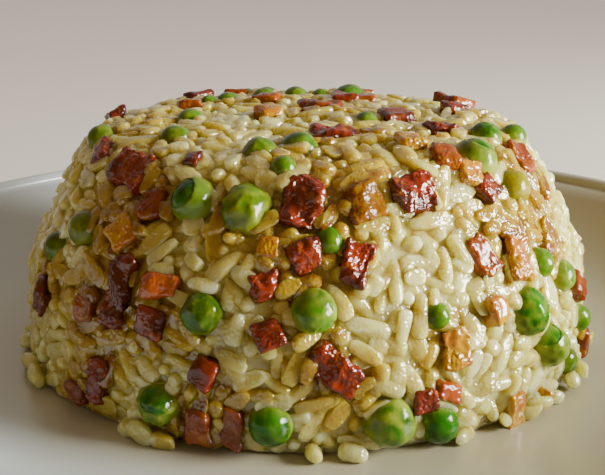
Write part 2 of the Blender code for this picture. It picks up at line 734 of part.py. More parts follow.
def build_rice(pieces, bits, home, cutters, stuff):
    """The heap with a pocket for each whole piece."""
    whole = add_object("heap", heap_mesh(pieces, bits), home, None)
    cut = whole.modifiers.new("pockets", "BOOLEAN")
    cut.operation = "DIFFERENCE"
    cut.solver = "EXACT"
    cut.operand_type = "COLLECTION"
    cut.collection = cutters
    bpy.context.view_layer.update()
    evaluated = whole.evaluated_get(bpy.context.evaluated_depsgraph_get())
    bm = bmesh.new()
    bm.from_mesh(evaluated.to_mesh())
    bmesh.ops.remove_doubles(bm, verts=bm.verts[:], dist=SLIVER)
    bmesh.ops.dissolve_degenerate(bm, edges=bm.edges[:], dist=SLIVER)
    drop_scraps(bm)
    bpy.data.objects.remove(whole, do_unlink=True)
    add_object("rice", bm, home, stuff)


# ---------------------------------------------------------------- the whole
def main():
    for old in list(bpy.data.objects):
        bpy.data.objects.remove(old, do_unlink=True)
    home = collection("glutinous_rice")
    cutters = collection("pockets")
    stuffs = {
        "rice": material("sticky rice", (0.62, 0.50, 0.27), 0.28, coat=0.4),
        "pea": material("green pea", (0.10, 0.27, 0.03), 0.30, coat=0.3),
        "sausage": material("browned sausage", (0.20, 0.035, 0.015), 0.30, coat=0.3),
        "paprika": material("paprika sausage", (0.50, 0.12, 0.03), 0.32, coat=0.3),
        "ham": material("pink ham", (0.56, 0.20, 0.12), 0.35, coat=0.2),
        "crust": material("browned rice crust", (0.55, 0.28, 0.07), 0.35, coat=0.2),
        "fat": material("clear golden fat", (0.45, 0.21, 0.03), 0.20, coat=0.5),
        "plate": material("white glaze", (0.75, 0.76, 0.74), 0.15, coat=0.5),
    }
    build_plate(home, stuffs["plate"])
    pieces = seen_pieces()
    bits = small_pieces()
    ease_apart(pieces + bits)
    add_back_pieces(pieces, bits)
    draw = random.Random(SEED + 3)
    for piece in pieces:
        build_piece(piece, home, cutters, stuffs, draw)
    build_rice(pieces, bits, home, cutters, stuffs["rice"])


main()
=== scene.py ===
# %% [markdown]
# # A mound of savoury glutinous rice on a white plate
# The rice was pressed into a small bowl and turned out, so it keeps the bowl's round form. Green peas
# and dice of sausage, ham and browned rice cake are mixed in and show at its skin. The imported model
# already has every piece at its real size and place. This lesson dresses it: thousands of sticky
# grains, wrinkled peas, crusty dice and a smooth glaze.

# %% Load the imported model
import json
import math
import random

import bmesh
import bpy
import numpy as np
from mathutils import Matrix, Vector, noise
from mathutils.bvhtree import BVHTree
from mathutils.kdtree import KDTree

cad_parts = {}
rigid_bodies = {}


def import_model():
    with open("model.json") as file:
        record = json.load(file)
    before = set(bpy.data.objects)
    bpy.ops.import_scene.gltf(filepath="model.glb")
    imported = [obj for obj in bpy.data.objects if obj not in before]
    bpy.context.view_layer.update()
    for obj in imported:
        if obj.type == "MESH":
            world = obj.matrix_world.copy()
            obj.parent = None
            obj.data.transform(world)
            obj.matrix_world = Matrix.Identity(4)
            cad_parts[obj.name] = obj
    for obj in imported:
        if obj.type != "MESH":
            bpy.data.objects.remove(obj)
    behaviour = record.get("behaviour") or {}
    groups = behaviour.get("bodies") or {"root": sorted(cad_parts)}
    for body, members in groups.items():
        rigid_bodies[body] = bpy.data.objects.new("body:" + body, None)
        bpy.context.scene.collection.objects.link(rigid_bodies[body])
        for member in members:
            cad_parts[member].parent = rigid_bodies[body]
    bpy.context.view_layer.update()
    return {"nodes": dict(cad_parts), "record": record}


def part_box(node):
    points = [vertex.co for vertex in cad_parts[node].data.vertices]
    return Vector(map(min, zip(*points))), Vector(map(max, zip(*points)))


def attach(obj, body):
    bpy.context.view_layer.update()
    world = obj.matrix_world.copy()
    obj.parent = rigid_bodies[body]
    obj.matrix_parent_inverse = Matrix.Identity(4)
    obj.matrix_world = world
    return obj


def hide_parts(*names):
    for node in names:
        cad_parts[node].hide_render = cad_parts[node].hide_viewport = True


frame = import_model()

print("packed pieces:", len(frame["nodes"]))

# %% [markdown]
# ## The camera
# The photograph looks down on the mound from the front, from close by. The mound's own axis is a
# little right of the picture's middle, which a small shift of the lens gives. The same numbers also
# turn a pixel of the photograph into a ray, and so into a place on the mound.

# %% Camera
MOUND_R = 0.055
FLOOR_Z = 0.0065              # the plate's floor above the table
PHOTO_WIDTH = 605
PHOTO_HEIGHT = 475
AXIS_COLUMN = 307             # the mound's axis in the photograph
FOCAL_PIXELS = 937
EYE_DISTANCE = 3.5 * MOUND_R  # from the foot of the axis, on the plate's floor
EYE_ELEVATION = math.radians(21.9)
EYE_PITCH = math.radians(16.6)
SENSOR_WIDTH = 36.0

eye = Vector((0.0, -EYE_DISTANCE * math.cos(EYE_ELEVATION),
              EYE_DISTANCE * math.sin(EYE_ELEVATION) + FLOOR_Z))
camera_data = bpy.data.cameras.new("photo_camera")
camera_data.sensor_width = SENSOR_WIDTH
camera_data.lens = FOCAL_PIXELS / PHOTO_WIDTH * SENSOR_WIDTH
camera_data.shift_x = (PHOTO_WIDTH / 2.0 - AXIS_COLUMN) / PHOTO_WIDTH
camera_data.clip_start = 0.01
camera = bpy.data.objects.new("photo_camera", camera_data)
camera.location = eye
camera.rotation_euler = (math.pi / 2.0 - EYE_PITCH, 0.0, 0.0)
bpy.context.scene.collection.objects.link(camera)
bpy.context.scene.camera = camera


def ray_through(pixel):
    """Direction from the eye through a pixel of the photograph."""
    ahead = Vector((0.0, math.cos(EYE_PITCH), -math.sin(EYE_PITCH)))
    above = Vector((0.0, math.sin(EYE_PITCH), math.cos(EYE_PITCH)))
    right = (pixel[0] - AXIS_COLUMN) / FOCAL_PIXELS
    down = (pixel[1] - PHOTO_HEIGHT / 2.0) / FOCAL_PIXELS
    return (ahead + Vector((right, 0.0, 0.0)) - above * down).normalized()


print(f"eye {eye.length * 1000:.0f} mm from the plate's foot")

# %% [markdown]
# ## Small helpers
# Each finished piece goes through the same last steps: it is shaded smooth, it gets its material, it
# rides on the plate's body, and the imported nodes that it stands for are hidden. Round things come
# from one half section, turned by the spin operator. The alternative, a Screw modifier, would do the
# same, but here the mesh has to be ready at once, because later cells measure it.

# %% Helpers for pieces
MERGE = 0.000002              # corners closer than this are one


def as_object(name, bm):
    """A mesh object at the origin, made from a bmesh."""
    mesh = bpy.data.meshes.new(name)
    bm.to_mesh(mesh)
    bm.free()
    made = bpy.data.objects.new(name, mesh)
    bpy.context.scene.collection.objects.link(made)
    return made


def serve(piece, stuff, slot, *nodes):
    """Finish a piece: smooth shading, material, body, and hiding the nodes that it stands for. The slot is
    not used.
    """
    piece.data.shade_smooth()
    piece.data.materials.append(stuff)
    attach(piece, "root")
    if nodes:
        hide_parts(*nodes)
    return piece


def set_value(mesh, name, values):
    """A number for each vertex, which a material can read by its name."""
    field = mesh.attributes.new(name, "FLOAT", "POINT")
    field.data.foreach_set("value", np.asarray(values, np.float32))


def turned(profile, steps):
    """A half section of (radius, height) points, turned once round the upright axis."""
    bm = bmesh.new()
    corners = [bm.verts.new((radius, 0.0, height)) for radius, height in profile]
    edges = [bm.edges.new(pair) for pair in zip(corners, corners[1:])]
    bmesh.ops.spin(bm, geom=corners + edges, cent=(0.0, 0.0, 0.0), axis=(0.0, 0.0, 1.0),
                   angle=math.tau, steps=steps, use_merge=True)
    bmesh.ops.remove_doubles(bm, verts=bm.verts[:], dist=MERGE)
    bmesh.ops.recalc_face_normals(bm, faces=bm.faces[:])
    return bm


def evaluated_bmesh(piece):
    """What an object's modifiers make of it; the object itself is removed."""
    bpy.context.view_layer.update()
    evaluated = piece.evaluated_get(bpy.context.evaluated_depsgraph_get())
    bm = bmesh.new()
    bm.from_mesh(evaluated.to_mesh())
    evaluated.to_mesh_clear()
    bpy.data.objects.remove(piece, do_unlink=True)
    return bm


def triangle_count(piece):
    return sum(len(face.vertices) - 2 for face in piece.data.polygons)


print("corners merge when they are closer than", MERGE * 1e6, "micrometres")

# %% [markdown]
# ## The mean skin of the mound
# The bowl gave the mound its form: a side that leans in more and more, a rounded shoulder and a
# nearly level top. One half section says it all. A table of it lets the script pick any place on the
# skin, every square millimetre being as likely, and tells which way is out there.

# %% Mean skin
GRAIN_RISE = 0.0009           # crown of a grain above the mean skin
TOUCH_GAP = 0.0003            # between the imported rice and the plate's floor
BELLY_Z = 0.12                # height of the widest place; this and the next five are in mound radii
SHOULDER_Z = 0.74             # where the side turns into the shoulder
SHOULDER_IN = 0.244
TOP_R = 0.45                  # the nearly level top reaches this far
TOP_Z = 0.800
TOP_CROWN = 0.012
PROFILE_STEPS = 60            # points on each of the three stretches
SKIN_STEPS = 180


def mound_profile():
    """Radius and height of the mean skin, from the middle of the top down to the foot."""
    side_drop = SHOULDER_IN / (SHOULDER_Z - BELLY_Z) ** 2
    shoulder_r = 1.0 - SHOULDER_IN
    lean = 2.0 * side_drop * (SHOULDER_Z - BELLY_Z)
    corner_r = shoulder_r - lean * (TOP_Z - SHOULDER_Z)
    share = np.arange(PROFILE_STEPS) / PROFILE_STEPS
    top = (TOP_R * share, TOP_Z + TOP_CROWN * (1.0 - share ** 2))
    start, middle, end = (1.0 - share) ** 2, 2.0 * share * (1.0 - share), share ** 2
    shoulder = (start * TOP_R + middle * corner_r + end * shoulder_r,
                (start + middle) * TOP_Z + end * SHOULDER_Z)
    height = SHOULDER_Z * (1.0 - np.arange(PROFILE_STEPS + 1) / PROFILE_STEPS)
    side = (1.0 - side_drop * (height - BELLY_Z) ** 2, height)
    radii, heights = np.concatenate([top, shoulder, side], axis=1) * (MOUND_R - GRAIN_RISE)
    return radii, heights + FLOOR_Z + TOUCH_GAP


skin_r, skin_z = mound_profile()
skin_step = np.hypot(np.diff(skin_r), np.diff(skin_z))
skin_run = np.concatenate([[0.0], np.cumsum(skin_step)])
skin_area = np.concatenate([[0.0], np.cumsum(skin_step * 0.5 * (skin_r[1:] + skin_r[:-1]))])
skin_tree = BVHTree.FromBMesh(turned(list(zip(skin_r, skin_z)), SKIN_STEPS))
LEVEL_LEAST = 0.3             # sine of the slope below which the skin counts as level


def standing(point, normal, turn=0.0):
    """Matrix that stands a piece on the skin: X runs level, Y up the side and Z outward."""
    level = Vector((0.0, 0.0, 1.0)).cross(normal)
    if level.length < LEVEL_LEAST:
        level = Vector((1.0, 0.0, 0.0))
    up = normal.cross(level.normalized()).normalized()
    axes = Matrix((up.cross(normal), up, normal)).transposed().to_4x4()
    return Matrix.Translation(point) @ axes @ Matrix.Rotation(turn, 4, "Z")


def skin_point(run, bearing):
    """Place and outward direction at a distance down from the top's middle and a bearing."""
    radius = float(np.interp(run, skin_run, skin_r))
    height = float(np.interp(run, skin_run, skin_z))
    at = min(max(int(np.searchsorted(skin_run, run)), 1), len(skin_r) - 1)
    fall = Vector((skin_r[at] - skin_r[at - 1], skin_z[at] - skin_z[at - 1])).normalized()
    way = Vector((math.cos(bearing), math.sin(bearing), 0.0))
    normal = Vector((-way.x * fall.y, -way.y * fall.y, fall.x)).normalized()
    return Vector((way.x * radius, way.y * radius, height)), normal


def random_place(draw):
    """Any place on the skin, as likely as any other of the same area."""
    run = float(np.interp(draw.random() * skin_area[-1], skin_area, skin_run))
    return skin_point(run, draw.uniform(0.0, math.tau))


def photo_place(pixel):
    """Place and outward direction on the skin at a pixel of the photograph."""
    along = ray_through(pixel)
    point, normal, _, _ = skin_tree.ray_cast(eye, along)
    if point is None:         # just outside the outline: the nearest place instead
        point, normal, _, _ = skin_tree.find_nearest(eye + along * EYE_DISTANCE)
    return point, normal


print(f"skin {skin_area[-1] * math.tau * 1e6:.0f} square mm, {skin_z[0] * 1000:.1f} mm high")

# %% [markdown]
# ## Effects that several finishes share
# Oil and starch leave every piece wet, and the wet skin is never even: the light breaks up into
# glitter on small bumps. Real bumps so fine would need millions of faces, so a node group makes them
# as a bumpy normal, with its own scales for each food. Broad bumps lie everywhere, and the fine ones
# only in patches, because glitter comes in patches. A second group gives soft patches of colour, for
# browning, marbling and mottled skin.

# %% Node groups
NOISE = "ShaderNodeTexNoise"
ROUGH_PATCH = 420.0           # scale of the patches that hold fine bumps
SMOOTH = 0.0                  # detail of a noise without finer layers
CLOUDY = 4.0                  # detail of a noise with four finer layers


def new_group(name, inputs, outputs):
    """An empty node group with named sockets, and its entry and exit nodes."""
    group = bpy.data.node_groups.new(name, "ShaderNodeTree")
    for label, value in inputs:
        socket = group.interface.new_socket(label, in_out="INPUT", socket_type="NodeSocketFloat")
        socket.default_value = value
    for label, kind in outputs:
        group.interface.new_socket(label, in_out="OUTPUT", socket_type=kind)
    return group, group.nodes.new("NodeGroupInput"), group.nodes.new("NodeGroupOutput")


def noise_at(tree, place, scale, detail=SMOOTH, roughness=0.5):
    """A noise texture on given coordinates; scale is a number or a socket."""
    made = tree.nodes.new(NOISE)
    made.inputs["Detail"].default_value = detail
    made.inputs["Roughness"].default_value = roughness
    tree.links.new(place, made.inputs["Vector"])
    if isinstance(scale, bpy.types.NodeSocket):
        tree.links.new(scale, made.inputs["Scale"])
    else:
        made.inputs["Scale"].default_value = scale
    return made.outputs["Fac"]


def soft_rise(tree, value, start, end):
    """0 up to a start value, 1 from an end value, and a soft slope between them."""
    rise = tree.nodes.new("ShaderNodeMapRange")
    rise.interpolation_type = "SMOOTHSTEP"
    tree.links.new(value, rise.inputs["Value"])
    for label, limit in (("From Min", start), ("From Max", end)):
        if isinstance(limit, bpy.types.NodeSocket):
            tree.links.new(limit, rise.inputs[label])
        else:
            rise.inputs[label].default_value = limit
    return rise.outputs["Result"]


def wet_skin_group():
    """Broad bumps, and fine ones on them that lie in patches, as a normal."""
    group, entry, leave = new_group(
        "wet skin", [("Broad Scale", 400.0), ("Broad Height", 0.0002), ("Fine Scale", 2500.0),
                     ("Fine Height", 0.00003), ("Rough Share", 1.0)],
        [("Normal", "NodeSocketVector")])
    place = group.nodes.new("ShaderNodeTexCoord").outputs["Object"]
    broad = group.nodes.new("ShaderNodeBump")
    group.links.new(noise_at(group, place, entry.outputs["Broad Scale"]), broad.inputs["Height"])
    group.links.new(entry.outputs["Broad Height"], broad.inputs["Distance"])
    spread = soft_rise(group, noise_at(group, place, ROUGH_PATCH, detail=1.0), 0.0, 1.0)
    rough = group.nodes.new("ShaderNodeMath")
    rough.operation = "LESS_THAN"
    group.links.new(spread, rough.inputs[0])
    group.links.new(entry.outputs["Rough Share"], rough.inputs[1])
    height = group.nodes.new("ShaderNodeMath")
    height.operation = "MULTIPLY"
    group.links.new(noise_at(group, place, entry.outputs["Fine Scale"]), height.inputs[0])
    group.links.new(rough.outputs[0], height.inputs[1])
    fine = group.nodes.new("ShaderNodeBump")
    group.links.new(height.outputs[0], fine.inputs["Height"])
    group.links.new(entry.outputs["Fine Height"], fine.inputs["Distance"])
    group.links.new(broad.outputs["Normal"], fine.inputs["Normal"])
    group.links.new(fine.outputs["Normal"], leave.inputs["Normal"])
    return group


def patches_group():
    """Soft-edged patches: 0 outside, 1 inside, with the share that is covered as an input."""
    group, entry, leave = new_group(
        "patches", [("Scale", 300.0), ("Start", 0.45), ("End", 0.6)], [("Mask", "NodeSocketFloat")])
    place = group.nodes.new("ShaderNodeTexCoord").outputs["Object"]
    cloud = noise_at(group, place, entry.outputs["Scale"], detail=CLOUDY, roughness=0.6)
    mask = soft_rise(group, cloud, entry.outputs["Start"], entry.outputs["End"])
    group.links.new(mask, leave.inputs["Mask"])
    return group


wet_skin = wet_skin_group()
patches = patches_group()
print("node groups:", wet_skin.name, "and", patches.name)

# %% [markdown]
# ## Helpers for finishes
# A finish starts as a plain Principled shader with its fixed values set on the shader itself. Colour
# is then mixed from two or more named colours by masks, and the wet skin feeds the normal. A mask is
# either a noise pattern or a number that the mesh carries at each vertex.

# %% Helpers for finishes


def finish(name, **values):
    """A new material and its shader, with fixed values set on the shader's own sockets."""
    made = bpy.data.materials.new(name)
    made.use_nodes = True
    shader = made.node_tree.nodes["Principled BSDF"]
    for label, value in values.items():
        shader.inputs[label.replace("_", " ").title().replace("Ior", "IOR")].default_value = value
    return made, made.node_tree, shader


def placed_group(tree, group, **values):
    """A node group in a material, with its own values."""
    made = tree.nodes.new("ShaderNodeGroup")
    made.node_tree = group
    for label, value in values.items():
        made.inputs[label.replace("_", " ").title()].default_value = value
    return made.outputs[0]


def value_of(tree, name):
    """The number that a mesh carries at each vertex."""
    made = tree.nodes.new("ShaderNodeAttribute")
    made.attribute_name = name
    return made.outputs["Fac"]


def mixed(tree, mask, first, second):
    """First colour where the mask is 0, second where it is 1."""
    made = tree.nodes.new("ShaderNodeMix")
    made.data_type = "RGBA"
    tree.links.new(mask, made.inputs[0])
    for socket, colour in ((made.inputs[6], first), (made.inputs[7], second)):
        if isinstance(colour, bpy.types.NodeSocket):
            tree.links.new(colour, socket)
        else:
            socket.default_value = (*colour, 1.0)
    return made.outputs[2]


def scaled(tree, mask, share):
    """A mask made weaker."""
    made = tree.nodes.new("ShaderNodeMath")
    made.operation = "MULTIPLY"
    made.inputs[1].default_value = share
    tree.links.new(mask, made.inputs[0])
    return made.outputs[0]


print("a finish mixes its colours by masks")

# %% [markdown]
# ## Finish of the rice
# Steamed glutinous rice is pearly and lets light in. Real transmission would be slow and noisy, so
# the shader scatters light below the skin, red and yellow light further than blue. Every grain has
# its own tone, and the grains that lie next to sausage are stained by its fat, first amber and then
# brown. The crevices between grains are painted darker, as painted shade. The three come from numbers
# on the mesh.

# %% Finish of the rice
PEARL = (0.66, 0.68, 0.35)
CREAM = (0.53, 0.505, 0.16)
GOLD = (0.44, 0.315, 0.015)
BROWN = (0.16, 0.045, 0.0)
# painted shade: the darker colour that the crevices between grains get
CREVICE_SHADE = (0.42, 0.31, 0.03)
AMBER_FROM, AMBER_FULL = 0.0, 0.7     # the oil that starts and completes each stain
BROWN_FROM, BROWN_FULL = 0.38, 1.0
CLOUD_SHARE = 0.35            # how strongly clouds darken a grain
CREVICE_SHARE = 0.75


def rice_finish(name, lighter, darker):
    made, tree, shader = finish(
        name, roughness=0.075, ior=1.50, specular_ior_level=1.0, subsurface_weight=0.95,
        subsurface_scale=0.0060, subsurface_radius=(1.0, 0.90, 0.50))
    # each grain's tone, random, and darker for deep grains and foot grains as painted shade
    colour = mixed(tree, value_of(tree, "tone"), darker, lighter)
    cloud = placed_group(tree, patches, scale=260.0, start=0.40, end=0.70)
    colour = mixed(tree, scaled(tree, cloud, CLOUD_SHARE), colour, darker)
    oil = value_of(tree, "oil")
    colour = mixed(tree, soft_rise(tree, oil, AMBER_FROM, AMBER_FULL), colour, GOLD)
    colour = mixed(tree, soft_rise(tree, oil, BROWN_FROM, BROWN_FULL), colour, BROWN)
    # painted shade: the crevices between grains are darkened
    colour = mixed(tree, scaled(tree, value_of(tree, "crevice_shade"), CREVICE_SHARE), colour, CREVICE_SHADE)
    tree.links.new(colour, shader.inputs["Base Color"])
    bumps = placed_group(tree, wet_skin, broad_scale=500.0, broad_height=0.00012,
                         fine_scale=1900.0, fine_height=0.00024, rough_share=0.56)
    tree.links.new(bumps, shader.inputs["Normal"])
    return made


grain_finish = rice_finish("pearly rice", PEARL, CREAM)
print("rice finish:", grain_finish.name)

# %% [markdown]
# ## Where the oil went
# Stained rice is found round the sausage, the golden dice and the fat, because their oil soaks into
# it. A search tree over those pieces gives the distance of any grain to the nearest of them. A second
# tree over all whole pieces is for laying the grains, which stay out of the pieces.

# %% Distances to the pieces
PIECE_MIDDLE = 0.0022         # how deep the middles of the pieces lie
OILY = ("sausage", "crust", "fat")


def tree_over(names):
    """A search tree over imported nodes."""
    bm = bmesh.new()
    for name in names:
        bm.from_mesh(frame["nodes"][name].data)
    return BVHTree.FromBMesh(bm)


whole_pieces = sorted(name for name in frame["nodes"] if name not in ("rice", "plate"))
piece_tree = tree_over(whole_pieces)
oil_tree = tree_over([name for name in whole_pieces if name.startswith(OILY)])


def room_to_piece(point):
    """Distance to the nearest whole piece, less than nothing inside it."""
    near, normal, _, distance = piece_tree.find_nearest(point)
    return distance if (point - near).dot(normal) > 0.0 else -distance


def room_to_border(point, normal):
    """The same for a point of the skin, measured at the depth of the pieces' middles."""
    return room_to_piece(point - normal * PIECE_MIDDLE)


print("whole pieces:", len(whole_pieces))

# %% [markdown]
# ## How stained a grain is
# A stain fades away from its piece, and soft noise makes it patchy. The fat also gathered in pools
# between pieces, and at the top, which lay at the bottom of the bowl. Other rice stayed clean close
# to a piece. A rule can't know that, so the pools and the clean places are put where the photograph
# has them: each by its pixel, with its reach over the skin.

# %% Stains
OIL_FULL = 0.0008             # the stain is full up to this distance
OIL_REACH = 0.0036            # how far it spreads beyond
OIL_PATCH = 90.0              # scale of the noise that makes stains patchy
OIL_LEVEL = 0.85
OIL_EVEN = 0.4                # added to a patch of 0 to 1, so that no stain is all patches
POOL_LEVEL = 1.5
POOL_EVEN, POOL_PATCHY = 0.6, 0.5
TOP_STAIN = 0.50
TOP_FROM = 0.040              # the stain of the top starts at this height
TOP_FADE = 0.008              # and is full this much higher
POOLS = [(photo_place(pixel)[0], reach) for pixel, reach in (
    ((118, 210), 0.009), ((352, 222), 0.010), ((330, 262), 0.006), ((160, 330), 0.006),
    ((268, 345), 0.005), ((505, 232), 0.006), ((300, 285), 0.005), ((450, 345), 0.004),
    ((210, 170), 0.005), ((225, 225), 0.004), ((75, 320), 0.006), ((542, 232), 0.007),
    ((338, 236), 0.007), ((332, 178), 0.006), ((376, 212), 0.005), ((245, 250), 0.004),
    ((148, 190), 0.007), ((122, 246), 0.006), ((90, 400), 0.006), ((218, 405), 0.005))]
CLEAN = [(photo_place(pixel)[0], reach) for pixel, reach in (
    ((457, 265), 0.006), ((388, 298), 0.006), ((243, 290), 0.005), ((200, 150), 0.007),
    ((400, 240), 0.004), ((545, 300), 0.004), ((250, 335), 0.005), ((190, 270), 0.004))]


def oil_at(point):
    """How stained a grain is at this place, from 0 to 1."""
    distance = oil_tree.find_nearest(point)[3]
    patch = 0.5 + noise.noise(point * OIL_PATCH)
    far = max(distance - OIL_FULL, 0.0) / OIL_REACH
    stain = OIL_LEVEL * math.exp(-far * far) * (OIL_EVEN + patch)
    soaked = POOL_LEVEL * (POOL_EVEN + POOL_PATCHY * patch)
    for pool, reach in POOLS:
        stain = max(stain, soaked * math.exp(-((point - pool).length / reach) ** 2))
    height = min(max((point.z - TOP_FROM) / TOP_FADE, 0.0), 1.0)
    stain = max(stain, TOP_STAIN * (OIL_EVEN + patch) * height)
    for clean, reach in CLEAN:
        stain *= 1.0 - math.exp(-((point - clean).length / reach) ** 2)
    return min(1.0, stain)


print("pools of oil:", len(POOLS), "and clean places:", len(CLEAN))

# %% [markdown]
# ## One grain of rice
# A cooked grain is a plump spindle, thicker at one end, a little bent and never quite smooth. A
# sphere with few faces is enough, because there will be thousands. A few unlike grains are made
# once. Every copy is stretched and turned in its own way, so that no two look the same.

# %% Grain shapes
GRAIN_SHAPES = 14
GRAIN_SIDES = 12
GRAIN_RINGS = 9
GRAIN_TAPER = (0.0, 0.25)     # how much thinner one end is
GRAIN_BEND = (-0.13, 0.13)
GRAIN_FLAT = (0.78, 1.0)      # thickness as a share of the width
GRAIN_WAIST = (-0.06, 0.10)   # how much the middle is drawn in
GRAIN_FULL = (0.55, 0.80)     # below 1, the ends are blunter than a sphere's
GRAIN_SQUARE = (0.70, 1.0)    # below 1, the section is a rounded square
GRAIN_UNEVEN = 0.04
WAIST_TURN = 3.0              # the waist is a cosine with this many radians to a half length
AXIS_LEAST = 0.001            # keeps a corner on the axis from a division by nothing


def blunt(value, power):
    """The same number, nearer to one: it turns a circle into a rounded square."""
    return math.copysign(abs(value) ** power, value)


def grain_shape(draw):
    """A grain along X, two units long and two units wide."""
    bm = bmesh.new()
    bmesh.ops.create_uvsphere(bm, u_segments=GRAIN_SIDES, v_segments=GRAIN_RINGS, radius=1.0)
    taper = draw.uniform(*GRAIN_TAPER)
    bend = draw.uniform(*GRAIN_BEND)
    flat = draw.uniform(*GRAIN_FLAT)
    waist = draw.uniform(*GRAIN_WAIST)
    fullness = draw.uniform(*GRAIN_FULL)
    square = draw.uniform(*GRAIN_SQUARE)
    for vert in bm.verts:
        x, y, z = vert.co.z, vert.co.x, vert.co.y
        around = max(math.hypot(y, z), AXIS_LEAST)
        full = around ** fullness * (1.0 - taper * x) * (1.0 - waist * math.cos(WAIST_TURN * x))
        uneven = 1.0 + draw.uniform(-GRAIN_UNEVEN, GRAIN_UNEVEN)
        side, crown = blunt(y / around, square), blunt(z / around, square)
        vert.co = (x, side * full * uneven + bend * x * x, crown * full * flat * uneven)
    mesh = bpy.data.meshes.new("grain shape")
    bm.to_mesh(mesh)
    bm.free()
    return mesh


shape_draw = random.Random(5)
grain_shapes = [grain_shape(shape_draw) for _ in range(GRAIN_SHAPES)]
print("faces of one grain:", len(grain_shapes[0].polygons))

# %% [markdown]
# ## Laying the grains
# Real grains end up packed close but in no pattern. A physics bath of thousands of grains would be
# slow, and a particle system lays them through each other. Here they are laid one by one at random
# places: each tries a few headings and lengths, and is dropped if its middle line would come too
# close to a grain or a piece that already lies there.

# %% Crowd


class Crowd:
    """Points in space, kept in cells so that near ones are found quickly."""

    def __init__(self, cell):
        self.cell = cell
        self.cells = {}

    def key(self, point):
        return tuple(int(math.floor(value / self.cell)) for value in point)

    def add(self, point):
        self.cells.setdefault(self.key(point), []).append(point)

    def is_clear(self, point):
        x, y, z = self.key(point)
        for dx in (-1, 0, 1):
            for dy in (-1, 0, 1):
                for dz in (-1, 0, 1):
                    for other in self.cells.get((x + dx, y + dy, z + dz), ()):
                        if (other - point).length < self.cell:
                            return False
        return True


sample = Crowd(0.002)
sample.add(Vector((0.0, 0.0, 0.0)))
print("clear 1 mm away:", sample.is_clear(Vector((0.001, 0.0, 0.0))),
      "and 3 mm away:", sample.is_clear(Vector((0.003, 0.0, 0.0))))

# %% [markdown]
# ## Layers of grains
# Grains don't all lie alike. Deep ones are short and painted darker, as painted shade, those at the
# skin long and flat, and one in five stands steeply, with an end pointing out. Each layer has its own
# numbers for this. The mound is a little lumpy too, so every grain is raised or lowered with the lump
# it lies on.

# %% Layers
GRAIN_HEADINGS = 5
BROKEN = 0.0034               # length of a broken grain, laid where no whole one fits
STEEP_SHARE = 0.2             # share of the grains that point more out of the skin
STEEP_TIP = 0.7               # spread of their angle
STEEP_SUNK = 0.4              # how far such a grain sinks, in lengths
SPINE_SHARES = (-0.42, -0.14, 0.14, 0.42)
LUMP_SCALE = 95.0             # lumps of the heap, about a centimetre across
LUMP_HEIGHT = 0.0008
FOOT_CLEAR = 0.0012           # least height of a grain's middle line over the plate


class Layer:
    """How the grains of one layer are laid."""

    def __init__(self, tries, apart, lengths, depths, tip, borders, tone):
        self.tries = tries            # places that are tried
        self.apart = apart            # least distance between two middle lines
        self.lengths = lengths
        self.depths = depths          # of the middle line below the mean skin
        self.tip = tip                # spread of the angle out of the skin
        self.borders = borders        # least and most distance of the middle to a piece's border
        self.tone = tone              # how much lighter its grains are; a darker layer is painted shade


def lump_at(point):
    return LUMP_HEIGHT * noise.noise(point * LUMP_SCALE)


def spine_of(middle, along):
    return [middle + along * share for share in SPINE_SHARES]


def lies_free(spine, normal, crowd, layer, near_piece):
    """Whether a grain's middle line is clear of the plate, of other grains and of the pieces."""
    if min(spine[0].z, spine[-1].z) < FLOOR_Z + FOOT_CLEAR:
        return False
    if not all(crowd.is_clear(spot) for spot in spine):
        return False
    least = layer.borders[0]
    return not near_piece or all(room_to_border(spot, normal) > least for spot in spine)


print("points on a grain's middle line:", len(SPINE_SHARES))

# %% [markdown]
# ## Laying a layer
# For each grain a place on the skin is drawn. If it is clear, the grain tries its own length, then the
# shortest whole one and at last a broken one, each with five headings, and the first that fits stays.
# A shorter grain drops into a gap that a longer one would miss, which is how rice packs.

# %% Laying grains


def crowd_of(grains, apart):
    """The middle lines of grains that already lie."""
    crowd = Crowd(apart)
    for grain in grains:
        for spot in spine_of(grain.middle, grain.along):
            crowd.add(spot)
    return crowd


def lay_grains(draw, layer, before=()):
    """Places for the grains of a layer, clear of the grains laid before: a matrix and a length."""
    crowd = crowd_of(before, layer.apart)
    laid = []
    for _ in range(layer.tries):
        point, normal = random_place(draw)
        middle = point + normal * (lump_at(point) - draw.uniform(*layer.depths))
        first = draw.uniform(0.0, math.pi)
        if not crowd.is_clear(middle):
            continue
        border = room_to_border(point, normal)
        if not layer.borders[0] < border < layer.borders[1]:
            continue
        tries = [(length, turn) for length in (draw.uniform(*layer.lengths), layer.lengths[0], BROKEN)
                 for turn in range(GRAIN_HEADINGS)]
        for length, turn in tries:
            tip = draw.gauss(0.0, STEEP_TIP if draw.random() < STEEP_SHARE else layer.tip)
            heading = first + math.pi * turn / GRAIN_HEADINGS
            sunk = middle - normal * abs(math.sin(tip)) * length * STEEP_SUNK
            place = standing(sunk, normal, heading) @ Matrix.Rotation(tip, 4, "Y")
            spine = spine_of(sunk, place.col[0].to_3d() * length)
            if lies_free(spine, normal, crowd, layer, border < length):
                for spot in spine:
                    crowd.add(spot)
                laid.append((place, length))
                break
    return laid


print("a steep grain is tipped by about", round(math.degrees(STEEP_TIP)), "degrees")

# %% [markdown]
# ## The grains of the mound
# The bowl pressed the outermost grains flat, so a grain's corners that stand out of the mean skin are
# pushed in, and its flat face leans a little its own way. Without this the mound would look like
# loose beads. The grains come in four layers: some below, most at the skin, some that lap over the
# edges of the pieces, and small ones in the gaps that are left.

